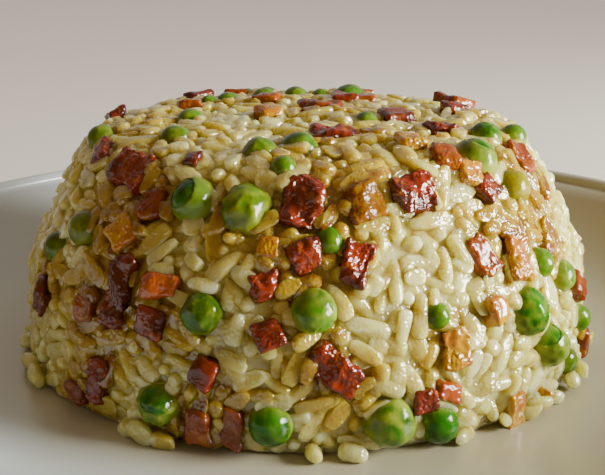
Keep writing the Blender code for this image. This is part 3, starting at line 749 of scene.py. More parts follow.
# %% Single grains
GRAIN_WIDTHS = (0.0023, 0.0033)
GRAIN_LIFT = 0.00025          # how far a grain's flat face lies above or below the mean skin
GRAIN_TILT = 0.18             # how much its flat face leans
GRAIN_GAP = 0.00008           # least height of a grain's skin over the plate
GRAIN_DENTS = 0.00016         # height of the dents and bulges that no two grains share
DENT_SCALE = 520.0
PRESS_KEEP = 0.15             # share that is left of what the bowl pressed in
TONE_SPREAD = 0.3             # of the tones round the middle one
OIL_TAKEN = (0.65, 1.0)       # share of the oil round it that a grain takes up


class Grain:
    """One laid grain: its matrix, its shape, and what the finish needs to know of it."""

    def __init__(self, place, length, draw, tone_and_shade_shift):
        self.half = draw.uniform(*GRAIN_WIDTHS) / 2.0
        roll = Matrix.Rotation(draw.uniform(0.0, math.tau), 4, "X")
        self.matrix = place @ roll @ Matrix.Diagonal((length / 2.0, self.half, self.half, 1.0))
        self.shape = draw.randrange(GRAIN_SHAPES)
        self.lift = draw.uniform(-GRAIN_LIFT, GRAIN_LIFT)
        self.tilt = Vector([draw.gauss(0.0, GRAIN_TILT) for _ in range(3)])
        # the layer's shift darkens deep grains and grains at the foot, as painted shade
        self.tone = min(max(draw.gauss(0.5, TONE_SPREAD) + tone_and_shade_shift, 0.0), 1.0)
        self.oil = oil_at(place.to_translation()) * draw.uniform(*OIL_TAKEN)
        self.middle = place.to_translation()
        self.along = place.col[0].to_3d() * length

    def pressed(self, point):
        """A point of the grain's skin, pushed in where the bowl pressed on it."""
        near, normal, _, _ = skin_tree.find_nearest(point)
        level = self.lift + lump_at(point) + self.tilt.dot(point - self.middle)
        excess = (point - near).dot(normal) - level
        dent = GRAIN_DENTS * noise.noise(point * DENT_SCALE)
        point = point + normal * (dent - max(excess, 0.0) * (1.0 - PRESS_KEEP))
        point.z = max(point.z, FLOOR_Z + GRAIN_GAP)
        return point

    def build(self, group):
        """The grain as an object in a collection."""
        mesh = grain_shapes[self.shape].copy()
        for vert in mesh.vertices:
            vert.co = self.pressed(self.matrix @ vert.co)
        made = bpy.data.objects.new("grain", mesh)
        group.objects.link(made)


FAR = 1.0                     # further than any piece
# painted shade: the grains below and those in the gaps get a darker tone
UNDER = Layer(tries=16000, apart=0.0019, lengths=(0.0048, 0.0066), depths=(0.0010, 0.0016),
              tip=0.25, borders=(0.0002, FAR), tone=-0.2)
OVER = Layer(tries=40000, apart=0.0019, lengths=(0.0050, 0.0078), depths=(0.0002, 0.0009),
             tip=0.16, borders=(0.0006, FAR), tone=0.0)
LAP = Layer(tries=24000, apart=0.0024, lengths=(0.0042, 0.0066), depths=(0.0000, 0.0005),
            tip=0.15, borders=(-0.0013, 0.0008), tone=0.0)
FILL = Layer(tries=20000, apart=0.0016, lengths=(0.0040, 0.0060), depths=(0.0003, 0.0010),
             tip=0.25, borders=(0.0004, FAR), tone=-0.1)

grain_draw = random.Random(11)


def grains_of(layer, before=()):
    """All the grains of a layer, clear of the grains laid before."""
    return [Grain(*laid, grain_draw, layer.tone) for laid in lay_grains(grain_draw, layer, before)]


under = grains_of(UNDER)
over = grains_of(OVER)
lap = grains_of(LAP)
fill = grains_of(FILL, under + over + lap)
print("grains:", len(under), "below,", len(over), "above,", len(lap), "over the edges of pieces and",
      len(fill), "in the gaps")

# %% [markdown]
# ## Grains at the foot
# When the bowl comes off, a few of the lowest grains spread on the plate. They lie flat against the
# foot of the mound, where the bowl didn't press them, and make its lower edge uneven. Each is dropped
# at a random bearing, and kept if nothing lies there yet.

# %% Foot grains
FOOT_TRIES = 6000
FOOT_APART = 0.0016
FOOT_LENGTHS = (0.0044, 0.0064)
FOOT_REACH = (-0.0008, 0.0014)    # how far outside the skin their middles lie
FOOT_HEIGHTS = (0.0008, 0.0022)
FOOT_TIP = 0.15
FOOT_LEAST = 0.0007               # least height of an end
FOOT_ROOM = 0.0014                # least distance to a whole piece
FOOT_LIFT = 0.0024                # they stand further out than the pressed ones
# painted shade: the grains at the foot of the mound get a darker tone
FOOT_SHADE_TONE = -0.35
OUTSIDE = 0.09                    # a ray starts here and looks in for the skin


def foot_grains(draw, before):
    """Grains that lie on the plate against the mound, clear of the grains laid before."""
    crowd = crowd_of(before, FOOT_APART)
    grains = []
    for _ in range(FOOT_TRIES):
        bearing = draw.uniform(0.0, math.tau)
        outward = Vector((math.cos(bearing), math.sin(bearing), 0.0))
        height = Vector((0.0, 0.0, FLOOR_Z + draw.uniform(*FOOT_HEIGHTS)))
        skin_place = skin_tree.ray_cast(outward * OUTSIDE + height, -outward)[0]
        middle = skin_place + outward * draw.uniform(*FOOT_REACH)
        length = draw.uniform(*FOOT_LENGTHS)
        turn = Matrix.Rotation(draw.uniform(0.0, math.tau), 4, "Z")
        place = Matrix.Translation(middle) @ turn @ Matrix.Rotation(draw.gauss(0.0, FOOT_TIP), 4, "Y")
        spine = spine_of(middle, place.col[0].to_3d() * length)
        if min(spot.z for spot in spine) < FLOOR_Z + FOOT_LEAST:
            continue
        if all(crowd.is_clear(spot) and room_to_piece(spot) > FOOT_ROOM for spot in spine):
            grain = Grain(place, length, draw, FOOT_SHADE_TONE)
            grain.lift = FOOT_LIFT
            grains.append(grain)
            for spot in spine:
                crowd.add(spot)
    return grains


foot = foot_grains(grain_draw, under + over + lap + fill)
print("grains at the foot:", len(foot))

# %% [markdown]
# ## The core of the mound
# Under its outermost grains the mound is one mass, and nobody sees into it. So the grains get a plain
# core: the mean skin's half section, set in a little and turned, with its flat foot on the plate. The
# mound is cut like a cake into thirds, because one mesh with every grain would be too heavy.

# %% Core of the mound
CORE_DEPTH = 0.0012           # how far the core lies below the mean skin
CORE_EVERY = 2                # it takes every other point of the mean skin
FLAT_FOOT = 0.001             # no lumps below this height
RICE_THIRDS = (("sticky_rice_front", -150.0), ("sticky_rice_right", -30.0), ("sticky_rice_left", 90.0))
THIRD = 120.0                 # degrees


def core_shape():
    """A turned body a little inside the mean skin, closed by its flat foot."""
    rings = []
    for run in skin_run[::CORE_EVERY]:
        point, normal = skin_point(run, 0.0)
        inner = point - normal * CORE_DEPTH
        rings.append((max(inner.x, 0.0), max(inner.z, FLOOR_Z + TOUCH_GAP)))
    rings[0] = (0.0, rings[0][1])
    rings += [(rings[-1][0], FLOOR_Z + TOUCH_GAP), (0.0, FLOOR_Z + TOUCH_GAP)]
    bm = turned(rings, SKIN_STEPS)
    for vert in bm.verts:
        if vert.co.z > FLOOR_Z + FLAT_FOOT:
            vert.co += vert.normal * lump_at(vert.co)
    return bm


def wedge(bm, start):
    """Keep a third of a turned body, from a bearing on, closed by two flat walls."""
    for bearing, side in ((start, -1.0), (start + THIRD, 1.0)):
        turn = math.radians(bearing)
        outward = Vector((-math.sin(turn), math.cos(turn), 0.0)) * side
        cut = bmesh.ops.bisect_plane(bm, geom=bm.verts[:] + bm.edges[:] + bm.faces[:], dist=MERGE,
                                     plane_co=(0.0, 0.0, 0.0), plane_no=outward, clear_outer=True)
        rim = [item for item in cut["geom_cut"] if isinstance(item, bmesh.types.BMEdge)]
        bmesh.ops.holes_fill(bm, edges=rim, sides=0)
    bmesh.ops.recalc_face_normals(bm, faces=bm.faces[:])
    return bm


def in_third(place, start):
    bearing = math.degrees(math.atan2(place.y, place.x))
    return (bearing - start) % 360.0 < THIRD


print("the core lies", CORE_DEPTH * 1000, "mm below the mean skin")

# %% [markdown]
# ## One solid from many grains
# Steamed glutinous rice has no air between its grains: they have swollen into each other. A remesh
# would round them off, and grains left loose would keep thousands of hidden faces. So a Boolean union
# fuses the grains with the core and drops all that lies inside. The Manifold solver is the fast one,
# and needs closed meshes, which grains and core are.

# %% Fusing


def fused(core, grains):
    """The core and all its grains as one solid, without what lies hidden inside."""
    group = bpy.data.collections.new("loose grains")
    bpy.context.scene.collection.children.link(group)
    for grain in grains:
        grain.build(group)
    union = core.modifiers.new("fuse", "BOOLEAN")
    union.operation = "UNION"
    union.operand_type = "COLLECTION"
    union.collection = group
    union.solver = "MANIFOLD"
    bm = evaluated_bmesh(core)
    for made in group.objects[:]:
        bpy.data.meshes.remove(made.data)
    bpy.data.collections.remove(group)
    return bm


print("grains to fuse:", len(under + over + lap + fill + foot))

# %% [markdown]
# ## Mending the fused mesh
# The union leaves small sealed gaps between grains, which are filled, because only the outer skin is
# seen. Corners that fall on each other are merged. Faces with many corners are split into triangles,
# and where a split would run along another face's edge, the face is poked at its middle instead.

# %% Mending
SLIVER = 0.0000001            # corners closer than this are one


def without_cavities(bm):
    """Keep the outer skin alone: the sealed gaps between the grains are filled."""
    bm.verts.index_update()
    shell = {}
    for first in bm.verts:
        if first in shell:
            continue
        shell[first] = first
        front = [first]
        while front:
            vert = front.pop()
            for edge in vert.link_edges:
                other = edge.other_vert(vert)
                if other not in shell:
                    shell[other] = first
                    front.append(other)
    sizes = {}
    for first in shell.values():
        sizes[first] = sizes.get(first, 0) + 1
    outer = max(sizes, key=sizes.get)
    inner = [vert for vert, first in shell.items() if first is not outer]
    bmesh.ops.delete(bm, geom=inner, context="VERTS")
    return bm


def split_faces(bm):
    """Split every face into triangles, so that no edge has more than two of them."""
    trial = bm.copy()
    bmesh.ops.triangulate(trial, faces=trial.faces[:])
    shared = [[vert.index for vert in edge.verts] for edge in trial.edges if not edge.is_manifold]
    trial.free()
    bm.verts.ensure_lookup_table()
    crossed = set()
    for one, other in shared:
        crossed |= set(bm.verts[one].link_faces) & set(bm.verts[other].link_faces)
    bmesh.ops.poke(bm, faces=[face for face in crossed if len(face.verts) > 3])
    bmesh.ops.triangulate(bm, faces=bm.faces[:])


def tidied(bm):
    """Merge corners that lie on each other, and split every face into triangles."""
    bmesh.ops.remove_doubles(bm, verts=bm.verts[:], dist=SLIVER)
    bm.verts.index_update()
    split_faces(bm)
    print("faulty edges:", sum(not edge.is_manifold for edge in bm.edges))
    return bm


print("corners merge when they are closer than", SLIVER * 1e6, "micrometres")

# %% [markdown]
# ## The sticky rice
# Each third is fused, and then every corner of its mesh looks for the grain next to it: it takes that
# grain's tone and oil, and counts as lying in a crevice, which is painted darker as painted shade, if
# a second grain is almost as near. The tips of a grain are a little lighter. A sharp angle between
# two grains stays a crease in the shading.

# %% Sticky rice
CREVICE_WIDE = 0.0007
CREASE = math.radians(38.0)   # a sharper angle between two faces shows as a crease
END_PEARL = 0.35              # how much lighter the tip of a grain is
POINT_SHARES = (-0.42, -0.28, -0.14, 0.0, 0.14, 0.28, 0.42)
NEAR_POINTS = 10


def grain_points(grains):
    """A search tree over points on the grains' middle lines, and what lies at each point."""
    points = []
    for number, grain in enumerate(grains):
        for share in POINT_SHARES:
            tone = min(grain.tone + END_PEARL * (abs(share) == max(POINT_SHARES)), 1.0)
            points.append((grain.middle + grain.along * share, number, grain.half, tone, grain.oil))
    tree = KDTree(len(points))
    for index, point in enumerate(points):
        tree.insert(point[0], index)
    tree.balance()
    return tree, points


def build_third(name, start, grains, tree, points):
    """A third of the sticky rice as one closed piece."""
    core = as_object("rice core", wedge(core_shape(), start))
    mine = [grain for grain in grains if in_third(grain.middle, start)]
    bm = tidied(without_cavities(fused(core, mine)))
    rice = as_object(name, bm)
    tone, oil, crevice_shade = [], [], []
    for vert in rice.data.vertices:
        near = sorted((distance - points[index][2], points[index][1], index)
                      for _, index, distance in tree.find_n(vert.co, NEAR_POINTS))
        gap, own, index = near[0]
        others = [other for other, number, _ in near if number != own]
        # painted shade: how far into a crevice between two grains a corner lies
        crevice_shade.append(max(0.0, 1.0 - (others[0] - gap) / CREVICE_WIDE) if others else 0.0)
        tone.append(points[index][3])
        oil.append(points[index][4])
    set_value(rice.data, "tone", tone)
    set_value(rice.data, "oil", oil)
    set_value(rice.data, "crevice_shade", crevice_shade)
    print(name, triangle_count(rice), "triangles")
    served = serve(rice, grain_finish, "rice", "rice")
    served.data.set_sharp_from_angle(angle=CREASE)
    return served


def build_sticky_rice():
    grains = under + over + lap + fill + foot
    tree, points = grain_points(grains)
    return [build_third(name, start, grains, tree, points) for name, start in RICE_THIRDS]


sticky_rice = build_sticky_rice()
print("sticky rice:", sum(triangle_count(third) for third in sticky_rice), "triangles")

# %% [markdown]
# ## Finish of the peas
# The peas are cooked but still bright. Some are vivid, some olive, and their skins are mottled where
# the flesh below shows through. A noise in the material gives the fine mottling. What differs from
# pea to pea comes from two numbers that the mesh carries: how pale it is at a corner and how olive.

# %% Finish of the peas
PEA_BRIGHT = (0.014, 0.135, 0.0)
PEA_DEEP = (0.007, 0.060, 0.0)
PEA_PALE = (0.26, 0.33, 0.03)
PEA_OLIVE = (0.22, 0.19, 0.0)


def pea_finish():
    made, tree, shader = finish(
        "green pea skin", roughness=0.16, ior=1.42, subsurface_weight=0.35, subsurface_scale=0.0015,
        subsurface_radius=(0.5, 1.0, 0.2))
    mottle = placed_group(tree, patches, scale=230.0, start=0.42, end=0.62)
    colour = mixed(tree, mottle, PEA_BRIGHT, PEA_DEEP)
    colour = mixed(tree, value_of(tree, "pale"), colour, PEA_PALE)
    colour = mixed(tree, value_of(tree, "olive"), colour, PEA_OLIVE)
    tree.links.new(colour, shader.inputs["Base Color"])
    bumps = placed_group(tree, wet_skin, broad_scale=420.0, broad_height=0.00022,
                         fine_scale=1500.0, fine_height=0.00005)
    tree.links.new(bumps, shader.inputs["Normal"])
    return made


pea_skin = pea_finish()
print("pea finish:", pea_skin.name)

# %% [markdown]
# ## How each pea looks
# Every pea in the photograph is different, and the ones in front are large enough to be recognised.
# So each has its own look: how deep its folds and dents are, how pale or olive it is, and which way
# its skin has split, in the pea's own axes. The peas at the back get a look at random.

# %% Looks of the peas


class PeaLook:
    """How a pea differs from a plain one."""

    def __init__(self, folds=0.015, dents=0.04, pale=0.0, olive=0.0, split=None, mottle=0.5):
        self.folds = folds
        self.dents = dents
        self.pale = pale
        self.olive = olive
        self.split = split
        self.mottle = mottle


PEA_LOOKS = {
    "pea_01": PeaLook(split=(-0.30, 0.10, 0.72), mottle=0.1, folds=0.02),
    "pea_02": PeaLook(folds=0.10, dents=0.10, pale=0.15, olive=0.25, mottle=0.7),
    "pea_03": PeaLook(split=(0.5, -0.75, 0.3), mottle=0.4),
    "pea_04": PeaLook(pale=0.05, mottle=0.3),
    "pea_05": PeaLook(pale=0.40, dents=0.06, mottle=1.0),
    "pea_06": PeaLook(folds=0.02, mottle=0.2),
    "pea_07": PeaLook(pale=0.12, folds=0.05, dents=0.08, mottle=0.6),
    "pea_08": PeaLook(pale=0.1, folds=0.04, split=(-0.4, 0.7, 0.2)),
    "pea_09": PeaLook(pale=0.25, split=(0.1, 0.1, 0.8)),
    "pea_10": PeaLook(folds=0.06, dents=0.08, olive=0.1, mottle=0.4),
    "pea_11": PeaLook(folds=0.08, dents=0.09, split=(0.2, 0.5, 0.5), mottle=0.3),
    "pea_12": PeaLook(pale=0.15, split=(0.3, 0.2, 0.6)),
    "pea_13": PeaLook(pale=0.1, folds=0.03),
    "pea_14": PeaLook(pale=-0.4, olive=1.0, mottle=0.2),
    "pea_15": PeaLook(pale=0.1, olive=0.2, folds=0.04),
    "pea_16": PeaLook(pale=0.15, olive=0.1, dents=0.06),
    "pea_17": PeaLook(pale=0.15),
    "pea_18": PeaLook(pale=0.1, olive=0.45),
}
print("peas with a look of their own:", len(PEA_LOOKS))

# %% [markdown]
# ## The skin of a pea
# A pea is a ball whose skin has come a little loose: it puckers into thin folds, and where it has
# split it stands off the flesh as a paler lip. Folds are lines where a noise passes through zero. A
# split skin is a second shell, cut open by a plane and thickened, because a bump alone would show no
# edge. The skin is painted paler towards the rim, as painted light: there it is seen at a slant and
# light would come through.

# %% Skin of a pea
PEA_NET = 4                   # subdivisions of the ball
SPLIT_AT = 0.9                # where the cut lies along the way of the split
FOLD_SCALE = 1.5
FOLD_SHARP = 7.0
FOLD_MIDDLE = 0.5             # folds rise and the skin between them sinks
PEA_DENT_SCALE = 1.1
DENT_SHIFT = 0.3              # dents go in more than bulges come out
FOLD_PALE = 5.0               # a fold is paler the higher it stands
MOTTLE_SCALE = 3.2
RIM_FROM = 0.60               # how far round from its front the painted pale rim starts, as a cosine
RIM_WIDE = 0.60
# painted light: how much paler the rim is made
RIM_PAINTED_GLOW = 0.75


def fold_at(spot):
    """1 on a fold of the skin, 0 away from it."""
    return max(0.0, 1.0 - FOLD_SHARP * abs(noise.noise(spot * FOLD_SCALE)))


def pucker(bm, look, seed):
    """Dent a ball of radius 1 and raise thin folds in its skin."""
    for vert in bm.verts:
        spot = vert.co.normalized() + seed
        dent = noise.noise(spot * PEA_DENT_SCALE) - DENT_SHIFT
        vert.co *= 1.0 + look.folds * (fold_at(spot) - FOLD_MIDDLE) + look.dents * dent


def paleness(bm, look, seed, extra=0.0):
    """How pale the skin is at each corner: at the rim as painted light, on the folds and in mottled
    patches.
    """
    values = []
    for vert in bm.verts:
        spot = vert.co.normalized()
        # painted light: the rim is made paler, as if light came through the skin seen at a slant
        rim = RIM_PAINTED_GLOW * min(max((RIM_FROM - spot.z) / RIM_WIDE, 0.0), 1.0)
        fold = FOLD_PALE * look.folds * fold_at(spot + seed)
        mottle = look.mottle * noise.noise((spot + seed) * MOTTLE_SCALE)
        values.append(min(max(look.pale + extra + rim + fold + mottle, 0.0), 1.0))
    return values


def pea_ball(look, seed, radius):
    bm = bmesh.new()
    bmesh.ops.create_icosphere(bm, subdivisions=PEA_NET, radius=1.0)
    pucker(bm, look, seed)
    bmesh.ops.scale(bm, verts=bm.verts[:], vec=(radius,) * 3)
    return bm


def split_skin(look, seed):
    """A loose skin over a ball of radius 1, open round the split, with some thickness."""
    bm = pea_ball(look, seed, 1.0)
    way = Vector(look.split)
    bmesh.ops.bisect_plane(bm, geom=bm.verts[:] + bm.edges[:] + bm.faces[:], dist=MERGE,
                           plane_co=way * SPLIT_AT, plane_no=way, clear_outer=True)
    bmesh.ops.recalc_face_normals(bm, faces=bm.faces[:])
    return bm


sample = pea_ball(PeaLook(), Vector(), 1.0)
print("faces of a pea:", len(sample.faces))
sample.free()

# %% [markdown]
# ## The peas
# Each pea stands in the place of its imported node, with its front turned out of the mound, so that the
# look above is seen. The skin of a cooked pea stands off a little, so it is larger than the packed
# ball, and the peas at the side are eased out until they show as much as the real ones.

# %% Peas
PEA_SWELL = 1.07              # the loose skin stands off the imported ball
PEA_PROUD = 0.0008            # how far a pea is eased out of the side of the mound
FLESH = 0.94                  # size of the flesh in a split skin
LOOSE = 0.975                 # size of the split skin itself
LOOSE_PALE = 0.35             # how much paler a loose skin is
SKIN_THICK = 0.00022


def build_pea(name, look, seed):
    """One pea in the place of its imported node."""
    low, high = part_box(name)
    middle = (low + high) / 2.0
    radius = PEA_SWELL * sum((high - low) / 2.0) / 3.0
    _, normal, _, _ = skin_tree.find_nearest(middle)
    place = standing(middle + Vector((normal.x, normal.y, 0.0)) * PEA_PROUD, normal)
    bm = pea_ball(look, seed, radius if look.split is None else radius * FLESH)
    pale = paleness(bm, look, seed)
    if look.split is not None:
        skin = split_skin(look, seed)
        bmesh.ops.scale(skin, verts=skin.verts[:], vec=(radius * LOOSE,) * 3)
        bmesh.ops.solidify(skin, geom=skin.faces[:], thickness=SKIN_THICK)
        pale += paleness(skin, look, seed, LOOSE_PALE)
        loose = bpy.data.meshes.new("loose skin")
        skin.to_mesh(loose)
        skin.free()
        bm.from_mesh(loose)
        bpy.data.meshes.remove(loose)
    bmesh.ops.transform(bm, matrix=place, verts=bm.verts[:])
    pea = as_object(f"{name}_skin", bm)
    set_value(pea.data, "pale", pale)
    set_value(pea.data, "olive", [look.olive] * len(pale))
    return serve(pea, pea_skin, "pea", name)


def own_seed(number):
    """A shift of the noise that gives each piece its own pattern."""
    return Vector((number * 7.3, number * 3.1, number * 5.7))


pea_names = [name for name in whole_pieces if name.startswith("pea")]
look_draw = random.Random(23)
PLAIN_PALE = (0.0, 0.2)
PLAIN_FOLDS = (0.01, 0.06)
PLAIN_OLIVE = (0.0, 0.25)
for number, name in enumerate(pea_names):
    plain = PeaLook(pale=look_draw.uniform(*PLAIN_PALE), folds=look_draw.uniform(*PLAIN_FOLDS),
                    olive=look_draw.uniform(*PLAIN_OLIVE))
    build_pea(name, PEA_LOOKS.get(name, plain), own_seed(number))
print("peas:", len(pea_names))

# %% [markdown]
# ## Finishes of the dice
# Fried sausage is dark red-brown with orange edges where its paprika fat shows. Ham is pink and
# finely fibrous. Browned rice cake is golden, and fat has gone clear. All of them glisten, and their
# crags break the light into sparks. One function makes the five finishes, because they differ only in
# their three colours, the height of their finest bumps and how far light goes in.

# %% Finishes of the dice
CLOUD_START, CLOUD_END = 0.42, 0.60   # noise values between which the second colour sets in
SPOT_START, SPOT_END = 0.56, 0.66     # the same for the spots, which are small and sharp
SPOT_FINER = 2.6              # how much finer the spots are than the clouds


def dice_finish(name, base, shade, spot, fine_height, patch_scale, spot_share, **values):
    """Two patchy colours and darker or lighter spots over a craggy, oily skin."""
    made, tree, shader = finish(name, **values)
    cloud = placed_group(tree, patches, scale=patch_scale, start=CLOUD_START, end=CLOUD_END)
    colour = mixed(tree, cloud, base, shade)
    spots = placed_group(tree, patches, scale=patch_scale * SPOT_FINER, start=SPOT_START, end=SPOT_END)
    colour = mixed(tree, scaled(tree, spots, spot_share), colour, spot)
    colour = mixed(tree, value_of(tree, "edge"), colour, shade)
    tree.links.new(colour, shader.inputs["Base Color"])
    bumps = placed_group(tree, wet_skin, broad_scale=700.0, broad_height=0.00018,
                         fine_scale=2000.0, fine_height=fine_height, rough_share=0.55)
    tree.links.new(bumps, shader.inputs["Normal"])
    return made


dice_finishes = {
    "sausage": dice_finish(
        "fried sausage", base=(0.19, 0.018, 0.003), shade=(0.075, 0.009, 0.002),
        spot=(0.44, 0.11, 0.002), fine_height=0.00028, patch_scale=150.0, spot_share=0.4,
        roughness=0.14, specular_ior_level=0.7, ior=1.47, subsurface_weight=0.15,
        subsurface_scale=0.001, subsurface_radius=(1.0, 0.3, 0.1)),
    "paprika_sausage": dice_finish(
        "paprika sausage", base=(0.25, 0.052, 0.0), shade=(0.16, 0.022, 0.0),
        spot=(0.40, 0.16, 0.0), fine_height=0.00024, patch_scale=150.0, spot_share=0.4,
        roughness=0.14, specular_ior_level=0.7, ior=1.46, subsurface_weight=0.25,
        subsurface_scale=0.0012, subsurface_radius=(1.0, 0.35, 0.12)),
    "ham": dice_finish(
        "pink ham", base=(0.40, 0.082, 0.008), shade=(0.28, 0.040, 0.003),
        spot=(0.56, 0.20, 0.03), fine_height=0.00018, patch_scale=200.0, spot_share=0.5,
        roughness=0.16, specular_ior_level=1.0, ior=1.45, subsurface_weight=0.35,
        subsurface_scale=0.0015, subsurface_radius=(1.0, 0.4, 0.25)),
    "crust": dice_finish(
        "golden crust", base=(0.46, 0.24, 0.0), shade=(0.38, 0.12, 0.0),
        spot=(0.24, 0.06, 0.0), fine_height=0.00034, patch_scale=180.0, spot_share=0.5,
        roughness=0.10, specular_ior_level=1.0, ior=1.47, subsurface_weight=0.4,
        subsurface_scale=0.0018, subsurface_radius=(1.0, 0.6, 0.2)),
    "fat": dice_finish(
        "clear golden fat", base=(0.21, 0.085, 0.0), shade=(0.13, 0.036, 0.0),
        spot=(0.34, 0.19, 0.004), fine_height=0.00024, patch_scale=240.0, spot_share=0.5,
        roughness=0.12, ior=1.47, subsurface_weight=0.8,
        subsurface_scale=0.0030, subsurface_radius=(1.0, 0.6, 0.2)),
}
print("dice finishes:", len(dice_finishes))

# %% [markdown]
# ## Wearing a die down
# Fried dice have lost their sharp edges and are lumpy all over. A bevel would give every edge the
# same neat round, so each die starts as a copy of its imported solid, remeshed to an even net of small
# squares. Smoothing takes the edges off, and noise along the normals adds lumps and fine crags.

# %% Wear
DIE_NET = 0.00036             # size of the net's squares
LUMPS = 270.0
CRAGS = 1000.0
LUMP_SHIFT = 0.25             # lumps go in more than they come out


def even_net(piece, size):
    """An object's solid as an even net of squares; the object itself is used up."""
    remesh = piece.modifiers.new("even net", "REMESH")
    remesh.mode = "VOXEL"
    remesh.voxel_size = size
    return evaluated_bmesh(piece)


def smooth(bm, rounds):
    for _ in range(rounds):
        bmesh.ops.smooth_vert(bm, verts=bm.verts[:], factor=0.5, use_axis_x=True,
                              use_axis_y=True, use_axis_z=True)
    bm.normal_update()


def packed_net(name):
    """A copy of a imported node's solid as an even net of squares."""
    bm = bmesh.new()
    bm.from_mesh(frame["nodes"][name].data)
    bmesh.ops.remove_doubles(bm, verts=bm.verts[:], dist=MERGE)
    return even_net(as_object("die source", bm), DIE_NET)


def wear(bm, rounds, lump, crag, seed):
    """Round the corners off and roughen the skin."""
    smooth(bm, rounds)
    moves = []
    for vert in bm.verts:
        spot = vert.co + seed
        rough = lump * (noise.noise(spot * LUMPS) - LUMP_SHIFT) + crag * noise.noise(spot * CRAGS)
        moves.append(vert.normal * rough)
    for vert, move in zip(bm.verts, moves):
        vert.co += move


print("the net's squares are", DIE_NET * 1000, "mm wide")

# %% [markdown]
# ## The dice
# Sausage and rice cake fry craggy, while ham and fat stay smoother, so the two kinds of wear differ.
# The number that the mesh carries says how much a corner bulges, for there frying has browned it
# most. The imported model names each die's kind as its material slot, and the slot picks the finish.

# %% Dice
CRAGGY = ("sausage", "crust")
CRAGGY_WEAR = (12, 0.0013, 0.00042)   # rounds of smoothing, height of lumps and height of crags
PLAIN_WEAR = (9, 0.0010, 0.00018)
EDGE_START = 0.10             # bulge of the skin above which it counts as an edge
EDGE_GAIN = 3.0
SEED_SHARE = 0.01             # makes a pea's shift of the noise fit a die, which is in metres


def edge_values(bm):
    """For each corner, how much the skin bulges there."""
    values = []
    for vert in bm.verts:
        around = [edge.other_vert(vert).co for edge in vert.link_edges]
        middle = sum(around, Vector()) / len(around)
        bulge = (vert.co - middle).dot(vert.normal) / DIE_NET
        values.append(min(max((bulge - EDGE_START) * EDGE_GAIN, 0.0), 1.0))
    return values


def build_die(name, slot, seed):
    """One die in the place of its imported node."""
    bm = packed_net(name)
    wear(bm, *(CRAGGY_WEAR if slot in CRAGGY else PLAIN_WEAR), seed)
    edges = edge_values(bm)
    die = as_object(f"{name}_cut", bm)
    set_value(die.data, "edge", edges)
    return serve(die, dice_finishes[slot], slot, name)


slots = {part["node"]: part["material_slot"] for part in frame["record"]["subparts"]}
dice_names = [name for name in whole_pieces if not name.startswith("pea")]
dice = [build_die(name, slots[name], own_seed(number) * SEED_SHARE)
        for number, name in enumerate(dice_names)]
print("dice:", len(dice), "with", sum(triangle_count(die) for die in dice), "triangles")

# %% [markdown]
# ## The small peas and dice
# Pieces that show less than half, or are smaller than a pea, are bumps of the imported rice. Here they
# are real pieces, each at its pixel of the photograph. Each has a size and then how pale a pea is, or
# which kind a die is. The back, which the photograph doesn't show, gets more by a seeded rule.

# %% Places of the small pieces
SMALL_KINDS = ("sausage", "paprika_sausage", "crust")
SMALL_PEAS = [
    ((545, 262), 0.0056, 0.3), ((516, 132), 0.0054, 0.2), ((283, 163), 0.0044, 0.3),
    ((190, 116), 0.0060, 0.4), ((175, 133), 0.0060, 0.2), ((98, 133), 0.0056, 0.3),
    ((366, 118), 0.0052, 0.3), ((296, 93), 0.0062, 0.3), ((264, 94), 0.0062, 0.2),
    ((228, 98), 0.0058, 0.2), ((440, 316), 0.0044, 0.1), ((52, 245), 0.0060, 0.2),
    ((570, 362), 0.0056, 0.2), ((583, 318), 0.0056, 0.1), ((330, 240), 0.0050, 0.0),
]
SMALL_DICE = [
    ((100, 154), 0.0048, "sausage"), ((203, 372), 0.0042, "sausage"), ((270, 335), 0.0048, "sausage"),
    ((515, 409), 0.0056, "crust"), ((545, 400), 0.0038, "crust"), ((497, 308), 0.0046, "crust"),
    ((488, 188), 0.0044, "sausage"), ((445, 156), 0.0042, "paprika_sausage"), ((470, 173), 0.0042, "crust"),
    ((410, 143), 0.0050, "crust"), ((455, 108), 0.0048, "sausage"), ((396, 115), 0.0052, "sausage"),
    ((268, 112), 0.0048, "crust"), ((116, 115), 0.0050, "sausage"), ((190, 104), 0.0048, "paprika_sausage"),
    ((576, 285), 0.0052, "paprika_sausage"), ((150, 322), 0.0052, "sausage"), ((123, 233), 0.0048, "crust"),
    ((268, 247), 0.0040, "crust"), ((425, 400), 0.0044, "sausage"), ((192, 158), 0.0030, "sausage"),
]
BACK_SMALL = 26
BACK_SIZES = (0.0044, 0.0062)
BACK_PALE = (0.0, 0.4)
BACK_PEAS = 2                 # peas among every BACK_GROUP pieces
BACK_GROUP = 5
BACK_FROM = 0.012             # the back starts this far behind the axis
BACK_LOW = 0.006              # least height over the plate's floor
BACK_APART = 0.6              # least distance to a whole piece, in sizes


def back_place(draw, reach):
    """A free place at the back of the mound."""
    while True:
        point, normal = random_place(draw)
        high = point.z > FLOOR_Z + BACK_LOW
        if point.y > BACK_FROM and high and room_to_piece(point) > reach:
            return point, normal


small_draw = random.Random(31)
small_peas = [(photo_place(pixel), size, pale) for pixel, size, pale in SMALL_PEAS]
small_dice = [(photo_place(pixel), size, slot) for pixel, size, slot in SMALL_DICE]
for number in range(BACK_SMALL):
    size = small_draw.uniform(*BACK_SIZES)
    if number % BACK_GROUP < BACK_PEAS:
        place = back_place(small_draw, size * BACK_APART)
        small_peas.append((place, size, small_draw.uniform(*BACK_PALE)))
    else:
        kind = small_draw.choice(SMALL_KINDS)
        small_dice.append((back_place(small_draw, size * BACK_APART), size, kind))
print("small pieces:", len(small_peas), "peas and", len(small_dice), "dice")

